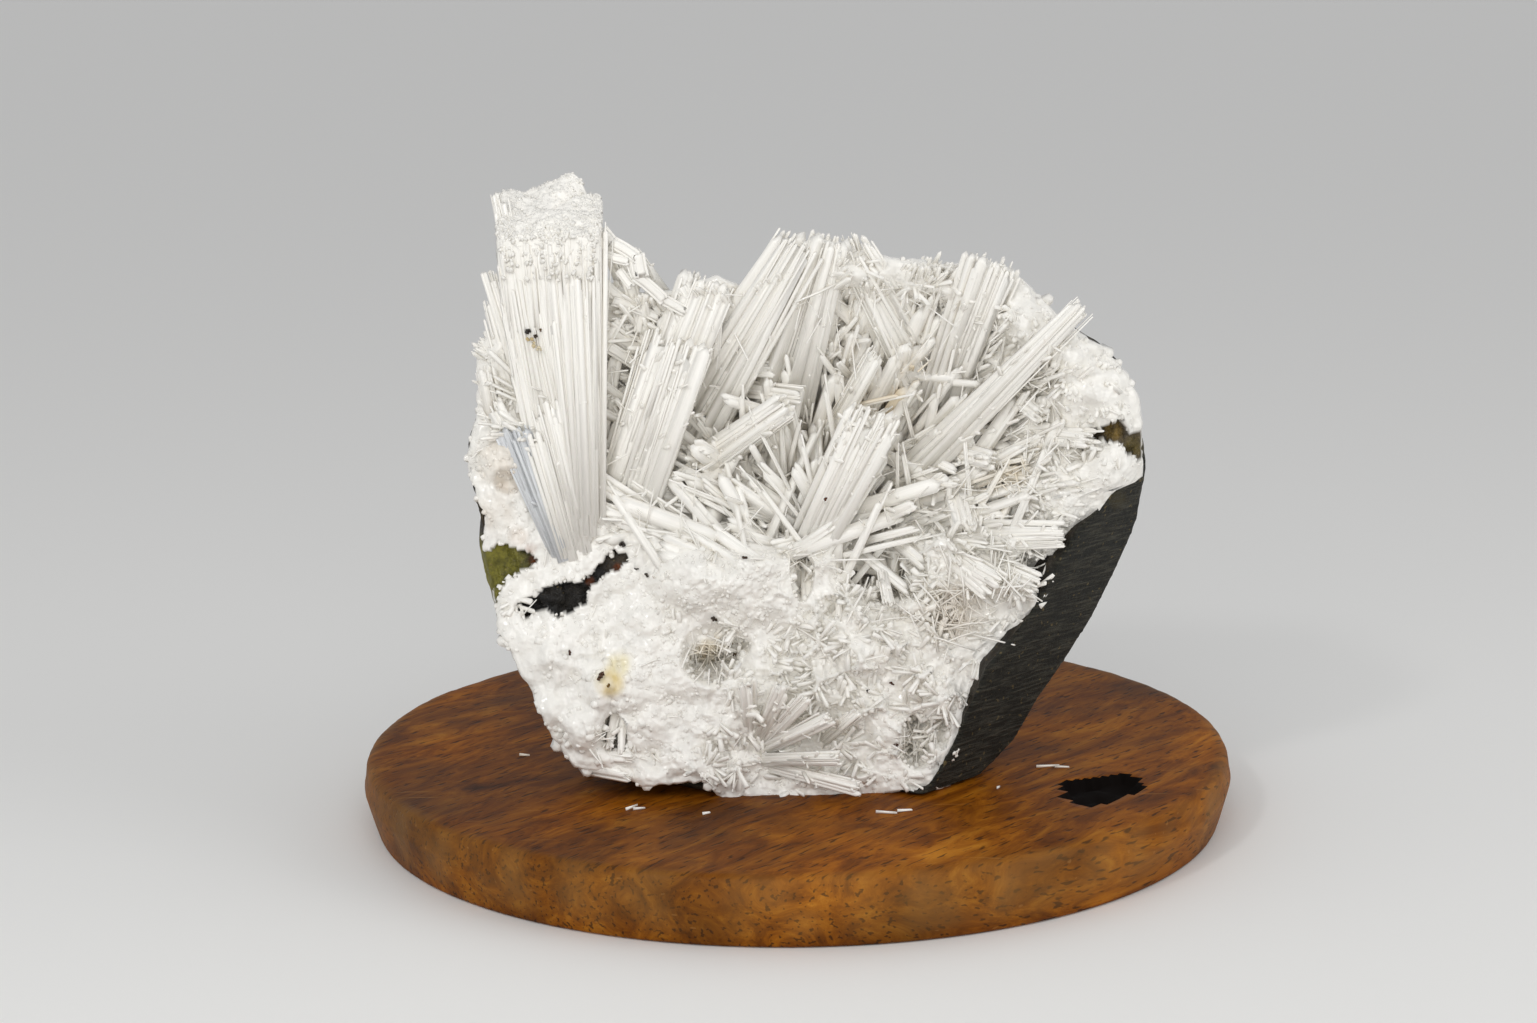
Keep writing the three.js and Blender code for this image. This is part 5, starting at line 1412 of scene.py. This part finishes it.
class GEODE_OT_stage(bpy.types.Operator):
    """Adds the floor, the soft lights and the camera"""

    bl_idname = "geode.stage"
    bl_label = "Studio"

    def execute(self, context):
        stage = context.scene.geode_stage
        size = 15.0
        corners = [(-size, -size, 0), (size, -size, 0), (size, size, 0), (-size, size, 0)]
        mesh = bpy.data.meshes.new("studio_floor")
        mesh.from_pydata(corners, [], [(0, 1, 2, 3)])
        floor = bpy.data.objects.new("studio_floor", mesh)
        context.scene.collection.objects.link(floor)
        material, _, _ = new_material("matt_paper", **{
            "Base Color": (*stage.floor_colour, 1.0), "Roughness": 0.9})
        mesh.materials.append(material)
        world = bpy.data.worlds.new("studio")
        world.use_nodes = True
        background = world.node_tree.nodes["Background"]
        background.inputs["Color"].default_value = rgba("#DCDDDF")
        background.inputs["Strength"].default_value = 0.76
        context.scene.world = world
        soft_light("key_light", (-0.2, -1.15, 0.6), 1.0, stage.key_power)
        soft_light("side_light", (1.0, -0.5, 0.5), 0.6, stage.fill_power)
        soft_light("glint_light", (-0.45, -0.85, 0.8), 0.1, stage.glint_power)
        context.scene.camera = photo_camera()
        context.scene.view_settings.view_transform = "Standard"
        context.scene.cycles.diffuse_bounces = 8
        return {"FINISHED"}


def soft_light(name, place, size, power):
    """A square soft light aimed at the geode."""
    data = bpy.data.lights.new(name, "AREA")
    data.size = size
    data.energy = power
    light = bpy.data.objects.new(name, data)
    light.location = place
    light.rotation_euler = (Vector((0, -0.03, 0.11)) - Vector(place)).to_track_quat("-Z", "Y").to_euler()
    bpy.context.scene.collection.objects.link(light)
    return light


CAMERA_PLACE = (-0.0087, -1.0740, 0.3340)
CAMERA_TILT = math.radians(12.0)
CAMERA_ROLL = math.radians(-0.8)
CAMERA_LENS = 74.95


def photo_camera():
    """The camera at the photograph's viewing angle."""
    data = bpy.data.cameras.new("photo_camera")
    data.lens = CAMERA_LENS
    data.sensor_width = 36.0
    camera = bpy.data.objects.new("photo_camera", data)
    ahead = Vector((0, math.cos(CAMERA_TILT), -math.sin(CAMERA_TILT)))
    right = Vector((1, 0, 0))
    above = right.cross(ahead)
    side = right * math.cos(CAMERA_ROLL) + above * math.sin(CAMERA_ROLL)
    top = above * math.cos(CAMERA_ROLL) - right * math.sin(CAMERA_ROLL)
    turn = Matrix((side, top, -ahead)).transposed().to_4x4()
    camera.matrix_world = Matrix.Translation(CAMERA_PLACE) @ turn
    bpy.context.scene.collection.objects.link(camera)
    return camera


class GEODE_PT_panel(bpy.types.Panel):
    """The geode's pieces in the sidebar"""

    bl_label = "Scolecite geode"
    bl_idname = "GEODE_PT_panel"
    bl_space_type = "VIEW_3D"
    bl_region_type = "UI"
    bl_category = "Geode"

    def draw(self, context):
        for operator in PIECE_OPERATORS:
            self.layout.operator(operator.bl_idname)
        for name in GeodeSettings.__annotations__:
            self.layout.prop(context.scene.geode, name)
        for name in StageSettings.__annotations__:
            self.layout.prop(context.scene.geode_stage, name)


PIECE_OPERATORS = (GEODE_OT_crust, GEODE_OT_column, GEODE_OT_rock, GEODE_OT_board, GEODE_OT_stage)
CLASSES = (GeodeSettings, StageSettings, *PIECE_OPERATORS, GEODE_PT_panel)


def register():
    """Registers the classes and the settings."""
    for item in CLASSES:
        bpy.utils.register_class(item)
    bpy.types.Scene.geode = PointerProperty(type=GeodeSettings)
    bpy.types.Scene.geode_stage = PointerProperty(type=StageSettings)


def unregister():
    """Removes the settings and the classes."""
    del bpy.types.Scene.geode_stage
    del bpy.types.Scene.geode
    for item in reversed(CLASSES):
        bpy.utils.unregister_class(item)


def main():
    """Builds every piece and the studio."""
    register()
    bpy.ops.geode.crust()
    bpy.ops.geode.column()
    bpy.ops.geode.rock()
    bpy.ops.geode.board()
    bpy.ops.geode.stage()
    bpy.context.view_layer.update()


if __name__ == "__main__":
    main()
